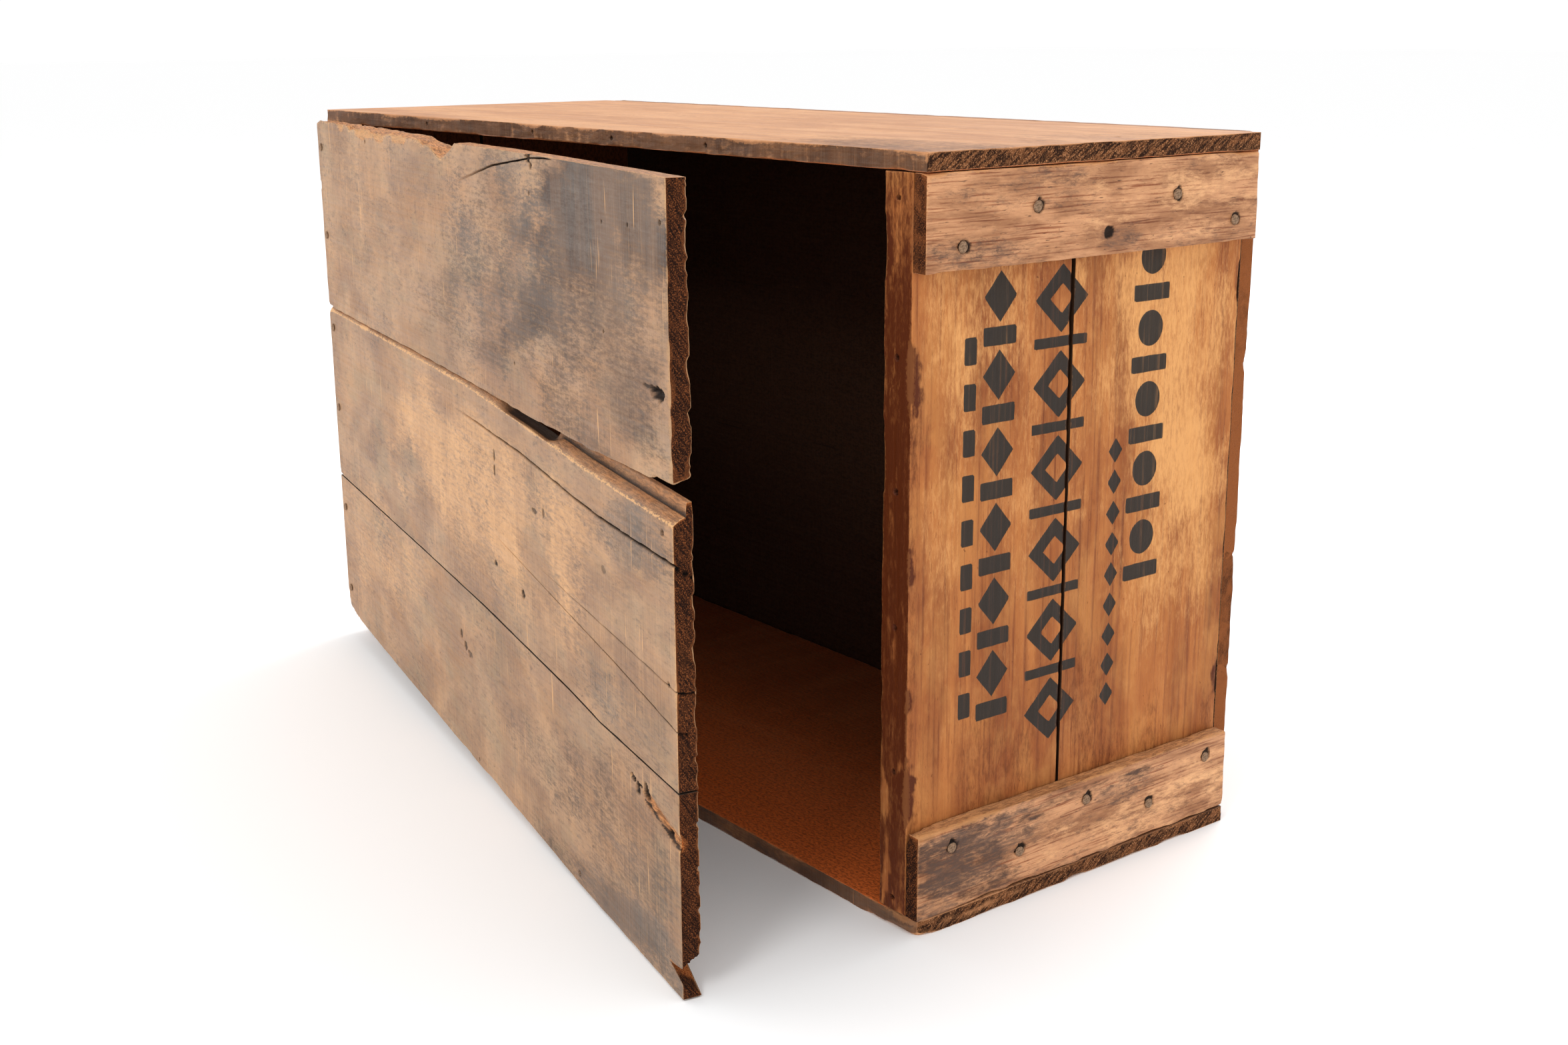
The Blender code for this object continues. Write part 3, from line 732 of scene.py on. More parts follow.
def make_end_board(node, side, seed, printed):
    """An upright end board. Its show face looks out from the crate."""
    size, place = lay(node, "Z", "Y", side)
    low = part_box(node)[0]
    front = "front" in node
    pits, chips = [], []
    if printed and front:
        for z in EMPTY_HOLE_Z:
            pits.append((z - low.z, 0, 0.0103, 1.5, 12))
        chips = [(0.287, 0, 0, 10, 2.6), (0.07, 0, 0, 8, 2.2), (0.19, 0, 0, 5, 1.0)]
        chips += [(0.245, 0, size[2], 8, 1.5), (0.12, 0, 0, 4, 1.0), (0.35, 0, size[2], 8, 1.2)]
    if not printed and front:
        for z in itertools.chain(*HINGE_NAIL_Z.values()):
            pits.append((z - low.z, 0, size[2] - 0.0097, 3.0, 8))
    if printed and not front:
        chips = [(0.315, size[1], 0, 5, 1.2), (0.08, size[1], 0, 6, 1.2)]
    step = 1.3 if printed else 5
    board = Board(size, step, seed, arris=0.9, rough=0.9, chips=chips, pits=pits)
    board.weather(face=0.1, sides=0.3, ends=0.3)
    board.dig()
    z = board.box[:, 0] + low.z
    y = board.box[:, 1] + low.y
    ink = np.full(len(y), -1.0)
    if printed:
        ink = stencil(y, z) + 0.00018 * board.noise(0.004, seed + 60, 2)
        ink = np.where(board.out[:, 2] < -0.7, ink, -1.0)
        board.sink(ease(ink, -0.0006, 0.0008) * 0.00045)
    tone = 0.16 * board.noise((0.14, 0.012, 0.03), seed + 50, 4)
    if front:
        tone += board.blotch(
            [
                (0.02, 0.06, 0.09, 0.07, -0.3), (0.24, 0.025, 0.12, 0.02, 0.3),
                (0.34, 0.05, 0.08, 0.06, 0.35), (0.22, 0.075, 0.12, 0.03, 0.2),
                (0.26, 0.01, 0.03, 0.014, -0.3), (0.08, 0.012, 0.07, 0.014, -0.2),
                (0.17, 0.003, 0.15, 0.005, -0.3),
            ],
            ragged=0.6,
        )
        on_edge = board.facing(1, -1)
        patchy = ease(board.noise((0.022, 0.007, 0.005), seed + 55, 4), 0.05, 0.45)
        streak = board.noise((0.05, 1, 0.0016), seed + 56, 3)
        high = ease(board.box[:, 0], 0.31, 0.37)
        low_down = ease(board.box[:, 0], 0.24, 0.04)
        edge_tone = -1.0 + patchy * (0.25 + 0.65 * low_down) + high * 0.4 + 0.15 * low_down + 0.3 * streak
        tone = tone * (1 - on_edge) + on_edge * edge_tone
    else:
        tone += board.blotch(
            [
                (0.31, 0.08, 0.18, 0.09, 0.7), (0.18, 0.09, 0.1, 0.07, 0.16),
                (0.02, 0.05, 0.07, 0.09, -0.5), (0.09, 0.02, 0.06, 0.02, -0.3),
                (0.2, 0.125, 0.15, 0.01, -0.25),
            ],
            ragged=0.6,
        )
    tone -= 0.9 * board.chip
    # Painted shade on the faces in the seam between the two end boards
    in_seam = ease(board.out[:, 1] * (1 if front else -1), 0.35, 0.75)
    board.paint_shade(in_seam * 0.95)
    inside = board.facing(2)
    wear = board.wear(head=0.15, foot=0.15, inner=0.25)
    fields = {"tone": tone, "ink": ink, "inside": inside, "wear": wear}
    adopt_board(board, node, place, END_WOOD, DARK_END, "end_wood", **fields)


BATTEN_NAILS = ((-0.099, 0.0365), (-0.0488, 0.02), (0.0025, 0.0365), (0.055, 0.02), (0.103, 0.0365))
BATTEN_DRIFT = (0.022, 0.006, 0.01)


def make_batten(node, side, seed, detailed):
    """A batten across the end boards, crushed beside each nail head."""
    size, place = lay(node, "Y", "Z", side)
    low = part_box(node)[0]
    top = "top" in node
    pits = []
    # Each hole sits to one side of its nail head; dig paints it with shade, a dark crescent beside the head
    for y, inset in BATTEN_NAILS:
        v = size[1] - inset if top else inset
        pits.append((y - low.y + 0.0017, v + 0.0003, 0, 3.6, 1.8))
    chips = [(0.02, 0 if top else size[1], 0, 6, 1.6), (0.0, size[1], 0, 6, 2.2)]
    if not top:
        chips += [(0.045, size[1], 0, 8, 2.0), (0.15, size[1], 0, 4, 1.2), (0.0, size[1], 0.004, 8, 3)]
        chips += [(0.05 + 0.027 * step, 0, 0, 4 + step % 3, 1.1 + 0.4 * (step % 2)) for step in range(8)]
    step = 2.0 if detailed else 5
    board = Board(size, step, seed, arris=0.9, rough=1.1, chips=chips, pits=pits)
    board.weather(face=0.18, sides=0.5, ends=0.5)
    board.dig()
    tone = 0.18 * board.noise((0.06, 0.006, 0.02), seed + 50, 4)
    grey = 0.06 + 0.4 * board.noise((0.05, 0.014, 0.03), seed + 51, 4)
    if top:
        tone += board.blotch(
            [
                (0.19, 0.03, 0.07, 0.03, 0.4), (0.1, 0.038, 0.03, 0.01, 0.2),
                (0.03, 0.01, 0.06, 0.016, -0.25), (0.085, 0.03, 0.03, 0.01, -0.25),
                (0.12, 0.018, 0.02, 0.008, 0.2),
            ],
            ragged=0.9,
            drift=BATTEN_DRIFT,
        )
        stains = [
            (0.135, 0.01, 0.03, 0.01, 0.4), (0.05, 0.038, 0.05, 0.012, 0.3),
            (0.03, 0.008, 0.05, 0.01, 0.3),
        ]
    else:
        tone += board.blotch(
            [
                (0.03, 0.025, 0.055, 0.035, -0.7), (0.125, 0.04, 0.05, 0.01, -0.4),
                (0.18, 0.014, 0.08, 0.02, 0.45), (0.165, 0.036, 0.02, 0.012, -0.45),
                (0.095, 0.018, 0.03, 0.012, 0.3), (0.125, 0.008, 0.02, 0.008, -0.35),
                (0.225, 0.03, 0.03, 0.02, 0.25),
            ],
            ragged=0.9,
            drift=BATTEN_DRIFT,
        )
        stains = [(0.03, 0.03, 0.06, 0.03, 0.55), (0.16, 0.036, 0.03, 0.012, 0.45)]
    grey += board.blotch(stains, 1, 0.9, BATTEN_DRIFT)
    tone += 0.35 * ease(np.abs(board.out[:, 0]), 0.4, 0.9)
    upper = board.facing(1)
    board.raw = upper * (0.25 if top else 0.75)
    inside = board.facing(2)
    wear = board.wear(head=0.6, foot=0.15, start=0.25, end=0.35, inner=0)
    fields = {"tone": tone, "grey": grey, "inside": inside, "wear": wear}
    adopt_board(board, node, place, BATTEN_WOOD, DARK_END, "batten_wood", **fields)


# ---------------- top, base and back


def make_top():
    node = "top_board"
    size, place = lay(node, "X", "Y", "+Z")
    pits = [(x, 0, 0.005, 1.3, 4) for x in (0.159, 0.299, 0.389, 0.484)]
    pits += [(0.64, 0.156, 0, 1.6, 2)]
    chips = [(size[0], 0, 0, 7, 1.6), (0.3, 0, 0, 5, 1.0), (0.52, 0, 0, 6, 1.2), (0.44, 0, 0, 4, 1.0)]
    chips += [(0.06 + 0.083 * step, 0, size[2], 3 + step % 3, 0.8 + 0.3 * (step % 2)) for step in range(8)]
    board = Board(size, 2.6, 11, arris=0.9, rough=1.2, chips=chips, pits=pits)
    board.weather(face=0.12, sides=0.8, ends=1.0)
    board.dig()
    tone = 0.15 * board.noise((0.2, 0.05, 0.02), 61, 3)
    tone += board.blotch([(0.62, 0.03, 0.12, 0.05, -0.55), (0.64, 0.15, 0.05, 0.08, -0.25)], ragged=0.6)
    on_edge = board.facing(1, -1)
    sawn = board.noise((0.0022, 1, 0.02), 69, 3) + 0.6 * board.noise((0.03, 1, 0.01), 62, 3)
    tone = tone * (1 - on_edge) + on_edge * (-1.05 + 0.6 * sawn)
    grey = on_edge * 0.3
    splinters = ease(board.box[:, 2], size[2] * 0.6, size[2]) * ease(sawn, 0.0, 0.5)
    board.raw = on_edge * np.clip(0.35 * splinters + 0.4 * board.noise((0.05, 0.01, 0.01), 65, 3), 0, 1)
    inside = 0.6 * board.facing(2)
    wear = board.wear(head=0.3, foot=0.5, start=0.4, end=0.6, inner=0.1)
    fields = {"tone": tone, "grey": grey, "inside": inside, "wear": wear}
    adopt_board(board, node, place, SHELL_WOOD, SAWN_END, "shell_wood", **fields)


def make_base():
    """The base, its front left corner broken away. Its front edge and the far inside of its top are painted
    darker, as painted shade.
    """
    node = "base_board"
    size, place = lay(node, "X", "Y", "+Z")
    chips = [(size[0], 0, 0, 8, 2.5), (size[0], 0, size[2], 16, 3.5), (size[0], 0.12, size[2], 9, 2.0)]
    chips += [(size[0], 0.2, size[2], 12, 2.5), (size[0], 0.06, 0, 5, 1.2), (size[0], 0.15, 0, 7, 1.5)]
    board = Board(size, 3, 12, arris=1.2, rough=1.0, chips=chips)
    board.weather(face=0.12, sides=0.6, ends=0.8)
    corner = 0.024 + 0.003 * board.noise(0.006, 68, 3) - board.place[:, 1]
    board.place[:, 0] = np.maximum(board.place[:, 0], corner)
    board.round_corner(0.013)
    tone = 0.25 * board.noise((0.2, 0.02, 0.02), 63, 3) - 0.25
    on_end = ease(board.out[:, 0], 0.3, 0.8)
    tone += on_end * (0.2 + 0.9 * np.clip(board.noise((0.02, 0.02, 0.005), 67, 4), -0.2, 1))
    # The front edge, under the sprung front, is painted dark brown and grey as shade
    on_edge = board.facing(1, -1)
    tone = tone * (1 - on_edge) + on_edge * (-1.1 + 0.4 * board.noise(0.03, 64, 3))
    grey = on_edge * 0.4
    board.raw = on_edge * np.clip(0.5 * board.noise((0.05, 0.01, 0.01), 66, 3), 0, 1)
    # Deeper into the crate the top is painted darker and less orange, as painted shade
    deep_in = ease(board.box[:, 1], 0.02, 0.2)
    from_ends = np.minimum(board.box[:, 0], size[0] - board.box[:, 0])
    inside = board.facing(2, -1) * (1 - 0.6 * deep_in) * ease(from_ends, 0.022, 0.03)
    tone -= 1.3 * deep_in * (board.out[:, 2] < -0.5)
    wear = board.wear(head=0.1, foot=0.25, start=0.1, end=0.15, inner=0.1)
    fields = {"tone": tone, "grey": grey, "inside": inside, "wear": wear}
    adopt_board(board, node, place, SHELL_WOOD, SAWN_END, "shell_wood", **fields)


BACK_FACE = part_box("back_board_top")[1].y
BACK_NAIL_X = (-0.24, -0.12, 0.0, 0.12, 0.24)
BACK_NAIL_Z = (0.0048, 0.401)
SIDE_NAIL_X = (-0.3118, 0.3118)
SIDE_NAIL_Z = (0.036, 0.076, 0.104, 0.146, 0.18, 0.252, 0.292, 0.372)
BACK_NAIL_SPOTS = [(x, z) for x in BACK_NAIL_X for z in BACK_NAIL_Z]
BACK_NAIL_SPOTS += [(x, z) for x in SIDE_NAIL_X for z in SIDE_NAIL_Z]


def make_back_board(node, seed, shade):
    """A board of the back, made plain without its tongue, its nail heads sunk in its outer face."""
    size, place = lay(node, "X", "Z", "+Y")
    low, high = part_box(node)
    pits = [(x - low.x, z - low.z, 0, 3.7, 1.4) for x, z in BACK_NAIL_SPOTS if low.z < z < high.z]
    chips = [(size[0], size[1], 0, 7, 2.5), (size[0], 0, 0, 6, 2.2), (0.21, 0, 0, 6, 1.0)]
    board = Board(size, 5, seed, arris=1.0, rough=0.9, chips=chips, pits=pits)
    board.weather(face=0.15, sides=0.3, ends=0.6)
    board.dig()
    ends = ease(np.abs(board.out[:, 0]), 0.4, 0.9)
    tone = shade + 0.3 * board.noise((0.2, 0.03, 0.03), seed + 50, 3) + 0.8 * ends
    # Painted shade along the joints between back boards
    joint = np.zeros(len(board.box))
    if "bottom" not in node:
        joint = np.maximum(joint, ease(board.box[:, 1], 0.0018, 0.0004))
    if "top" not in node:
        joint = np.maximum(joint, ease(size[1] - board.box[:, 1], 0.0018, 0.0004))
    board.paint_shade(joint * (1 - ends) * 0.9)
    inside = board.facing(2)
    wear = board.wear(start=0.3, end=0.3)
    fields = {"tone": tone, "inside": inside, "wear": wear}
    adopt_board(board, node, place, BACK_WOOD, DARK_END, "back_wood", **fields)


# ---------------- the sprung front boards

FACE_T = 0.0105
BOARD_RUN = 0.6442

# Paths along the front boards: height at each place from the hinge end
UPPER_HEAD = ((0, 0.3975), (0.012, 0.3995), (0.09, 0.3998), (0.095, 0.3985), (0.102, 0.3998))
UPPER_HEAD += ((0.258, 0.4), (0.281, 0.3962), (0.303, 0.3893), (0.31, 0.3893), (0.329, 0.3955))
UPPER_HEAD += ((0.337, 0.3995), (0.4, 0.4), (0.6442, 0.3998))
UPPER_FOOT = ((0, 0.262), (0.33, 0.2602), (0.45, 0.2578), (0.54, 0.2576), (0.6442, 0.26))
MIDDLE_HEAD = ((0, 0.26), (0.33, 0.2572), (0.447, 0.2516), (0.526, 0.2466))
MIDDLE_HEAD += ((0.58, 0.2445), (0.6442, 0.2424))
UPPER_SPLIT = ((0, 0.36), (0.25, 0.365), (0.337, 0.3771), (0.403, 0.3906), (0.468, 0.3985), (0.49, 0.3997))
UPPER_SPLIT += ((0.53, 0.398), (0.6442, 0.395))
HIGH_SPLIT = ((0, 0.24), (0.331, 0.2381), (0.429, 0.2342), (0.526, 0.2261))
HIGH_SPLIT += ((0.56, 0.2244), (0.6442, 0.2234))
MID_SPLIT = ((0, 0.188), (0.378, 0.184), (0.462, 0.1735), (0.635, 0.1618), (0.6442, 0.1612))
LOW_SPLIT = ((0, 0.178), (0.378, 0.1745), (0.47, 0.1635), (0.565, 0.1522), (0.6442, 0.1409))
LOWER_SEAM = ((0, 0.1318), (0.244, 0.1258), (0.349, 0.1227), (0.499, 0.1155))
LOWER_SEAM += ((0.543, 0.112), (0.6442, 0.11))
LOWER_FOOT = ((0, 0.0262), (0.006, 0.0232), (0.113, 0.0182), (0.271, 0.0112), (0.434, 0.0052))
LOWER_FOOT += ((0.508, 0.0022), (0.6442, 0.0008))
GOUGE = ((0.585, 0.0985), (0.604, 0.093), (0.628, 0.0875), (0.6442, 0.0835))


def raise_path(path, lift):
    return tuple((u, height + lift) for u, height in path)


def front_place():
    """Lays u along the panel, v upwards and w in from the panel's outer face."""
    turned = Matrix(((1, 0, 0), (0, 0, 1), (0, 1, 0))).to_4x4()
    return Matrix.Translation((0, -FACE_T, 0)) @ turned


HINGE_PLACE = front_place()


def free_end_chips(width, seed):
    """Nicks that the saw left along the free end's inner arris."""
    nicks = []
    spacing = 0.0075
    for step in range(int(width / spacing)):
        stray = math.sin(seed + 2.3 * step)
        depth = 1.6 + 1.3 * math.sin(seed * 3 + 4.1 * step)
        nicks.append((BOARD_RUN, spacing * (step + 0.5 + 0.4 * stray), FACE_T, 3.0 + stray, depth))
    return nicks


def front_paint(board, seed):
    """Stains that run across all three boards, placed along the panel and up it."""
    tone = 0.12 * board.noise((0.08, 0.06, 0.05), seed + 50, 4)
    tone += board.blotch(
        [
            (0.58, 0.38, 0.13, 0.03, -0.65), (0.52, 0.34, 0.3, 0.11, -0.32),
            (0.55, 0.32, 0.16, 0.08, -0.35), (0.38, 0.33, 0.14, 0.07, -0.2),
            (0.33, 0.205, 0.24, 0.05, 0.75), (0.12, 0.1, 0.14, 0.06, 0.4),
            (0.12, 0.34, 0.12, 0.07, 0.2), (0.57, 0.012, 0.14, 0.018, -0.65),
            (0.5, 0.06, 0.18, 0.04, -0.2), (0.42, 0.15, 0.14, 0.04, 0.35),
            (0.61, 0.225, 0.04, 0.012, -0.4), (0.56, 0.05, 0.12, 0.05, -0.3),
            (0.48, 0.125, 0.05, 0.012, -0.35), (0.6, 0.11, 0.05, 0.015, -0.25),
        ],
        ragged=0.7,
    )
    grey = 0.16 + 0.2 * board.noise((0.05, 0.04, 0.04), seed + 52, 4)
    grey += board.blotch(
        [
            (0.55, 0.375, 0.15, 0.045, 0.45), (0.38, 0.33, 0.13, 0.06, 0.22),
            (0.6, 0.225, 0.06, 0.025, 0.55), (0.57, 0.13, 0.1, 0.02, 0.3),
            (0.33, 0.36, 0.06, 0.03, 0.4), (0.14, 0.26, 0.06, 0.02, 0.2),
            (0.59, 0.05, 0.08, 0.03, 0.3), (0.6, 0.01, 0.14, 0.018, 0.6),
        ],
        seed=1,
        ragged=0.8,
    )
    return tone, grey


def make_front(board, node, seed, body, wear):
    """Paints, places and adopts a board of the sprung front."""
    tone, grey = front_paint(board, seed)
    inside = 0.7 * board.facing(2)
    materials = (FRONT_WOOD, DARK_END)
    obj = board.make(node, HINGE_PLACE, materials, tone=tone, grey=grey, inside=inside, wear=wear)
    obj.matrix_world = HINGE
    adopt(obj, body, "front_wood", node)


def make_upper_front():
    """Its head bitten by a lever and split from a knot; its foot bevelled towards the inside."""
    width = 0.1402
    split = 0.125
    pits = [
        (0.6365, 0.3798, 0, 1.4, 6), (0.631, 0.3018, 0, (9, 3.3), 4), (0.62, 0.3032, 0, (8, 1.1), 0.7),
        (0.464, 0.398, 0, (4, 2.6), 5), (0.468, 0.394, 0, (2, 1.6), 4), (0.095, 0.399, 0, 1.6, 2),
        (0.135, 0.39, 0, 1.5, 2), (0.4637, 0.3796, 0, 1.1, 1), (0.5663, 0.374, 0, 1.0, 1),
        (0.599, 0.3753, 0, 1.1, 1), (0.4288, 0.2843, 0, 1.0, 1), (0.5645, 0.3213, 0, 1.0, 1),
    ]
    chips = [
        (0.13, width, 0, 9, 2.0), (0.17, width, 0, 8, 1.6), (0.22, width, 0, 9, 1.4),
        (0.07, width, 0, 5, 1.4), (0.49, width, 0, 6, 1.4), (0.0, 0.115, 0, 5, 2.0),
        (0.0, 0.0, 0, 6, 2.0), (BOARD_RUN, 0.04, 0, 7, 2.6), (BOARD_RUN, 0.0, 0, 14, 3.0),
        (BOARD_RUN, 0.026, 0, 6, 2.2), (BOARD_RUN, 0.058, 0, 4, 1.8), (BOARD_RUN, 0.09, 0, 4, 1.4),
        (BOARD_RUN, 0.05, FACE_T, 5, 1.6), (BOARD_RUN, 0.105, FACE_T, 6, 2.4),
        (BOARD_RUN, 0.085, FACE_T, 4, 1.5),
        *free_end_chips(width, 1),
    ]
    rails = [(0, UPPER_FOOT), (split, UPPER_SPLIT), (width, UPPER_HEAD)]
    board = Board(
        (BOARD_RUN, width, FACE_T), 2.4, 21, 0.7, 0.9, chips, pits, [(split, 0.9)], rails,
        marks=[(0.281, 8), (0.306, 8), (0.331, 6)],
    )
    board.crack(split, 0.33, 0.502, 0.65, 5)
    board.weather(face=0.15, sides=0.8, ends=0.9)
    low_down = ease(board.place[:, 1], 0.012, 0)
    depth = np.clip(board.place[:, 2] / FACE_T, 0, 1)
    torn_head = board.facing(1, 1, 0.35, 0.8)
    board.follow()
    u = board.place[:, 0]
    board.place[:, 1] += 0.0033 * depth * low_down * ease(u, 0.0, 0.2)
    broken = ease(u, 0.085, 0.1) * ease(u, 0.285, 0.265)
    broken = broken * (0.55 + 0.6 * board.noise((0.018, 1, 1), 76, 3))
    at_head = ease(board.box[:, 1], width - 0.012, width)
    board.place[:, 1] -= 0.0045 * np.clip(broken, 0, 1) * (1 - depth) ** 1.5 * at_head
    near_bite = ease(np.abs(u - 0.306), 0.034, 0.0)
    board.place[:, 1] += 0.0065 * near_bite * depth * ease(board.box[:, 1], width - 0.015, width)
    board.dig()
    board.raw = torn_head * (0.95 - 0.35 * ease(u, 0.45, 0.62))
    board.raw = np.maximum(board.raw, 0.8 * board.chip * (board.out[:, 1] > 0.1))
    foot_face = board.facing(1, -1) * ease(u, 0.3, 0.42)
    board.raw = np.maximum(board.raw, 0.35 * foot_face)
    wear = board.wear(foot=0.2, head=0.55, end=0.25, start=0.1)
    make_front(board, "front_board_upper", 21, "upper_front_board", wear)


def make_middle_front():
    """A chamfered shoulder and a tongue along its head, and three long splits."""
    width = 0.126
    rails = [
        (0, raise_path(LOWER_SEAM, 0.0003)), (0.04, LOW_SPLIT), (0.052, MID_SPLIT), (0.104, HIGH_SPLIT),
        (width, raise_path(MIDDLE_HEAD, -0.0004)),
    ]
    pits = [
        (0.6312, 0.236, 0, 1.5, 5), (0.6349, 0.1624, 0, 1.4, 5), (0.3842, 0.2235, 0, (1.8, 4), 0.7),
        (0.3836, 0.2145, 0, (1.6, 3.5), 0.8), (0.451, 0.2054, 0, (3.4, 1.8), 0.6),
        (0.4664, 0.2075, 0, (2.2, 3.0), 0.5), (0.5542, 0.1984, 0, (3, 2.4), 0.2),
        (0.3782, 0.1564, 0, (3.2, 1.9), 1.2), (0.4263, 0.1508, 0, (2.6, 3.2), 1.2),
    ]
    chips = [
        (0.0, width, 0, 5, 1.5), (0.1, width, 0, 5, 1.0), (0.45, width, 0, 6, 0.8),
        (0.0, 0.0, 0, 4, 1.2), (BOARD_RUN, 0.052, 0, 4, 1.0), (BOARD_RUN, 0.104, 0, 3, 1.0),
        (BOARD_RUN, 0.07, FACE_T, 4, 1.0),
        *free_end_chips(width, 2),
    ]
    splits = [(0.04, 0.5), (0.052, 0.4), (0.104, 0.8)]
    board = Board(
        (BOARD_RUN, width, FACE_T), 2.4, 22, 0.45, 0.7, chips, pits, splits, rails, layers=[(0.0069, 0.5)],
    )
    board.crack(0.04, 0.37, BOARD_RUN, 0.36, 3, through_end=True, slant=0.3)
    board.crack(0.052, 0.45, BOARD_RUN, 0.28, 2, through_end=True, slant=0.1)
    board.crack(0.104, 0.31, BOARD_RUN, 0.75, 6, through_end=True, slant=0.6)
    board.weather(face=0.15, sides=0.1, ends=0.7)
    depth = np.clip(board.box[:, 2], 0, FACE_T)
    lost = ease(np.abs(board.box[:, 0] - 0.438), 0.052, 0.03)
    tongue = np.interp(
        depth,
        [0, 0.0037, 0.0069, 0.0071, 0.0078, 0.0098, FACE_T],
        [0, 0.0027, 0.0038, 0.01, 0.0108, 0.0108, 0.005],
    )
    tongue = tongue * (1 - lost) - 0.0012 * lost * np.sin(np.pi * depth / FACE_T)
    on_head = ease(board.box[:, 1], width - 0.006, width)
    board.follow()
    board.place[:, 1] += tongue * on_head
    board.dig()
    cove = ease(board.box[:, 1], width - 0.0012, width) * ease(depth, 0.0002, 0.002)
    board.raw = cove * (0.55 + 0.45 * board.noise((0.02, 0.004, 0.004), 72, 3))
    # Painted shade in the crevice at the tongue's foot and in the gap where the tongue is lost
    corner = ease(depth, 0.0058, 0.0069) * (depth < 0.007) * (1 - lost)
    crevice = lost * ease(depth, 0.0022, 0.0045)
    corner = np.maximum(corner, crevice) * ease(board.box[:, 1], width - 0.0006, width)
    board.paint_shade(0.85 * corner)
    # Painted shade on the foot face, in the seam over the lower board
    seam = ease(-board.out[:, 1], 0.3, 0.8) * ease(depth, 0.0002, 0.001)
    board.paint_shade(0.9 * seam)
    wear = board.wear(foot=0.0, head=0.9, end=0.45, start=0.1)
    make_front(board, "front_board_middle", 22, "lower_front_boards", wear)


def split_corner(board):
    """Opens the slit that frees a tooth at the board's lower free corner, with torn wood and painted shade
    on its walls.
    """
    u, z = board.place[:, 0], board.place[:, 1]
    depth = np.clip(board.place[:, 2] / FACE_T, 0, 1)
    tip = 0.0002 * board.noise(0.0015, 75, 2)
    apex_u = 0.6295 - 0.006 * depth + tip * 4
    apex_z = 0.0156 - 0.004 * depth
    under = 0.0092 - 0.0086 * depth + tip
    over = 0.0176 + 0.0068 * depth + tip
    reach = np.where(z < apex_z, (apex_z - z) / (apex_z - under), (z - apex_z) / (over - apex_z))
    wall = apex_u + (BOARD_RUN - apex_u) * np.clip(reach, 0, 1)
    open_part = np.clip(1 - reach, 0, 1)
    board.place[:, 0] = np.minimum(u, np.where(open_part > 0, wall, u))
    fresh = ease(open_part, 0.02, 0.12) * (u > wall - 0.0004) * ease(wall, 0.6375, 0.6335)
    board.raw = np.maximum(board.raw, fresh)
    # Painted shade inside the slit
    board.paint_shade(0.45 * ease(open_part, 0.02, 0.12) * (u > wall - 0.0004))


def make_lower_front():
    """Tapered along its foot, gouged near its free end and split off at its corner."""
    width = 0.1091
    pits = [
        (0.5031, 0.0088, 0, 1.5, 5), (0.325, 0.013, 0, 1.2, 3), (0.587, 0.0975, 0, (4.0, 2.0), 3),
        (0.5925, 0.094, 0, (2.6, 3.4), 2.5), (0.596, 0.0965, 0, (3.0, 1.0), 2),
        (0.6035, 0.096, 0, (3.4, 4.2), 5), (0.6325, 0.085, 0, (3.0, 2.0), 4),
        (0.3, 0.09, 0, (2.2, 3.5), 0.7), (0.308, 0.084, 0, (2.6, 3.0), 0.8),
        (0.316, 0.0808, 0, (5, 2.2), 0.5),
    ]
    chips = [
        (0.0, 0.0, 0, 14, 3.0), (0.0, 0.0, FACE_T, 14, 3.0), (BOARD_RUN, 0.083, 0, 5, 2.2),
        (0.35, 0.0, 0, 6, 1.0), (0.3, 0.0, 0, 4, 0.8),
        *free_end_chips(width, 3),
    ]
    rails = [(0, LOWER_FOOT), (width, raise_path(LOWER_SEAM, -0.0003))]
    board = Board(
        (BOARD_RUN, width, FACE_T), 2.4, 23, 0.5, 0.8, chips, pits, [(0.085, 4), (0.012, 6)], rails,
        marks=[(0.637, 6)],
    )
    board.weather(face=0.15, sides=0.3, ends=0.9)
    board.follow()
    u, z = board.place[:, 0], board.place[:, 1]
    torn = board.noise((0.007, 0.0013, 0.002), 71, 3)
    off = np.abs((z - along(GOUGE, u)) / 0.0042 + 0.5 * torn)
    furrow = ease(u, 0.598, 0.606) * ease(off, 1.2, 0.35) * ease(-board.out[:, 2], 0.3, 0.6)
    board.sink(furrow * (0.0014 + 0.0013 * torn))
    board.dig()
    outer = board.box[:, 2] < FACE_T * 0.4
    board.raw = np.maximum(furrow, 0.35 * board.chip * (u > 0.6) * outer)
    # Painted shade under the strands along the gouge
    hollow = ease(np.abs(z - along(GOUGE, u) + 0.0032), 0.0014, 0.0005) * ease(off, 0.2, 0.5)
    board.paint_shade(0.8 * hollow * (furrow > 0.2))
    # Painted shade on the head face, in the seam under the middle board
    board.paint_shade(0.9 * ease(board.out[:, 1], 0.3, 0.8))
    split_corner(board)
    wear = board.wear(foot=0.25, head=0.0, end=0.15, start=0.1)
    make_front(board, "front_board_lower", 23, "lower_front_boards", wear)


# ---------------- nails


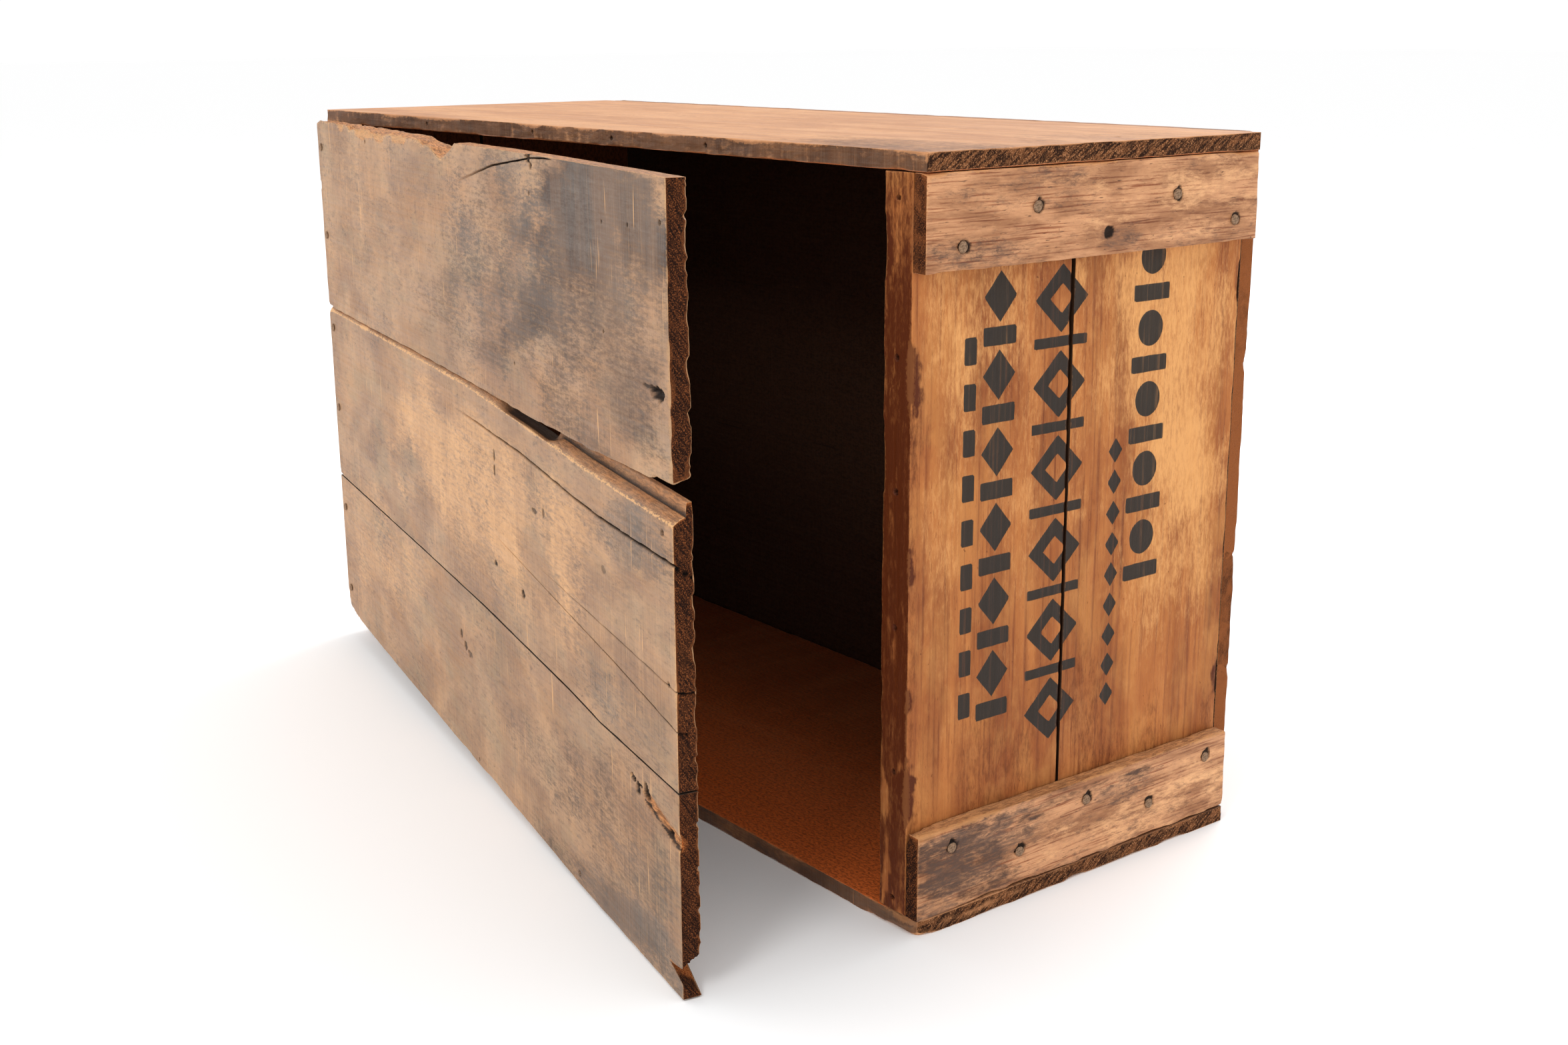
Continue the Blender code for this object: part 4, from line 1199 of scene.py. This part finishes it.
def nail_mesh(name, seed, length):
    """A wire nail with a hammered head. Its head's underside is at height 0."""
    radius, head, sides = 0.0029, 0.0012, 20
    profile = [(0.0, head), (0.45, head * 0.98), (0.8, head * 0.9), (0.96, head * 0.6), (1.0, head * 0.3)]
    profile += [(0.93, 0.0), (0.45, -0.0001), (0.43, 0.003 - length), (0.0, -length)]
    angles = np.arange(sides) * math.tau / sides
    wobble = 1 + 0.05 * np.cos(2 * angles + seed) + 0.03 * np.cos(3 * angles + 2 * seed)
    points, faces = [], []
    for share, height in profile:
        if share == 0:
            points.append((0, 0, height))
            continue
        tilt = 0.00012 * np.cos(angles + seed * 2) * (height > 0)
        uneven = wobble if share > 0.5 else 1
        x, y = (turn(angles) * radius * share * uneven for turn in (np.cos, np.sin))
        points += np.stack([x, y, height - np.abs(tilt)], axis=-1).tolist()
    rings = len(profile) - 2
    last = 1 + rings * sides
    for side in range(sides):
        after = (side + 1) % sides
        faces.append((0, 1 + side, 1 + after))
        for ring_index in range(rings - 1):
            start = 1 + ring_index * sides
            below = start + sides
            faces.append((start + side, below + side, below + after, start + after))
        start = 1 + (rings - 1) * sides
        faces.append((start + side, last, start + after))
    mesh = bpy.data.meshes.new(name)
    mesh.from_pydata(points, [], faces)
    mesh.shade_smooth()
    mesh.set_sharp_from_angle(angle=math.radians(50))
    mesh.materials.append(NAIL_METAL)
    return mesh


def make_nail(name, seat, drive, seed, length=0.01, turn=None):
    """A nail whose head's underside is at seat, driven along a direction."""
    obj = bpy.data.objects.new(name, nail_mesh(name, seed, length))
    bpy.context.scene.collection.objects.link(obj)
    place = Matrix.Translation(seat) @ (-Vector(drive)).to_track_quat("Z", "Y").to_matrix().to_4x4()
    obj.matrix_world = turn @ place if turn else place
    return obj


def nail_seat(node, drive):
    """The middle of the head's underside of a CAD nail in the row frame."""
    low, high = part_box(node)
    middle = (low + high) / 2
    axis = max(range(3), key=lambda index: abs(drive[index]))
    head = 0.0013
    middle[axis] = low[axis] + head if drive[axis] > 0 else high[axis] - head
    return middle


def make_nails():
    nodes = [name for name in frame["nodes"] if "nail" in name]
    for seed, node in enumerate(sorted(nodes)):
        if "hinge" in node:
            continue
        if "batten" in node:
            drive = (-1, 0, 0) if node.startswith("right") else (1, 0, 0)
        else:
            drive = (0, 0, -1) if "top_board" in node else (0, 0, 1)
        nail = make_nail(node, nail_seat(node, drive), drive, seed)
        adopt(nail, "crate", "nail_iron", node)
    for index, (x, z) in enumerate(BACK_NAIL_SPOTS):
        nail = make_nail(f"back_nail_{index + 1}", (x, BACK_FACE - 0.0016, z), (0, -1, 0), index + 3)
        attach(nail, "crate")
    for part, rows in HINGE_NAIL_Z.items():
        body = "upper_front_board" if part == "upper" else "lower_front_boards"
        for index, z in enumerate(rows):
            node = f"{part}_hinge_nail_{index + 1}"
            seat = (0.0103, -FACE_T - 0.0003, z)
            nail = make_nail(node, seat, (0, 1, 0), index + 5, FACE_T + 0.0055, HINGE)
            adopt(nail, body, "nail_iron", node)


# ---------------- building it all


def build_object():
    for side, label, seed in (("+X", "right", 1), ("-X", "left", 5)):
        printed = label == "right"
        make_end_board(f"{label}_end_board_front", side, seed, printed)
        make_end_board(f"{label}_end_board_rear", side, seed + 1, printed)
        make_batten(f"{label}_batten_top", side, seed + 2, printed)
        make_batten(f"{label}_batten_bottom", side, seed + 3, printed)
    make_top()
    make_base()
    shades = {"bottom": 0.1, "lower": -0.22, "upper": 0.24, "top": -0.06}
    for seed, (part, shade) in enumerate(shades.items()):
        make_back_board(f"back_board_{part}", 13 + seed, shade)
    make_upper_front()
    make_middle_front()
    make_lower_front()
    make_nails()


def build_stage():
    bpy.ops.mesh.primitive_plane_add(size=60)
    floor = bpy.context.object
    floor.name = "floor"
    floor.data.materials.append(floor_paper())

    world = bpy.data.worlds.new("studio")
    bpy.context.scene.world = world
    world.use_nodes = True
    background = world.node_tree.nodes["Background"]
    background.inputs["Color"].default_value = (1, 1, 1, 1)
    background.inputs["Strength"].default_value = 1.03

    for name, place, size, power in (
        ("key", (1.3, -2.9, 2.3), 1.2, 34), ("back", (-0.4, 2.4, 2.2), 2.0, 42),
        ("side", (-2.2, -1.8, 2.0), 2.0, 12),
    ):
        light = bpy.data.lights.new(name, "AREA")
        light.shape = "DISK"
        light.size = size
        light.energy = power
        lamp = bpy.data.objects.new(name, light)
        bpy.context.scene.collection.objects.link(lamp)
        lamp.location = place
        aim = Vector((0, 0, 0.2)) - lamp.location
        lamp.rotation_euler = aim.to_track_quat("-Z", "Y").to_euler()


def build_camera():
    data = bpy.data.cameras.new("camera")
    data.sensor_width = 36
    data.lens = 42.67
    camera = bpy.data.objects.new("camera", data)
    bpy.context.scene.collection.objects.link(camera)
    heading, tilt, roll = 52.36, -14.93, -0.36  # degrees
    camera.matrix_world = (
        Matrix.Translation((0.9906, -0.7165, 0.4629))
        @ Matrix.Rotation(math.radians(heading), 4, "Z")
        @ Matrix.Rotation(math.radians(90 + tilt), 4, "X")
        @ Matrix.Rotation(math.radians(roll), 4, "Z")
    )
    bpy.context.scene.camera = camera


bpy.context.scene.view_settings.view_transform = "Standard"
build_camera()
build_stage()
build_object()
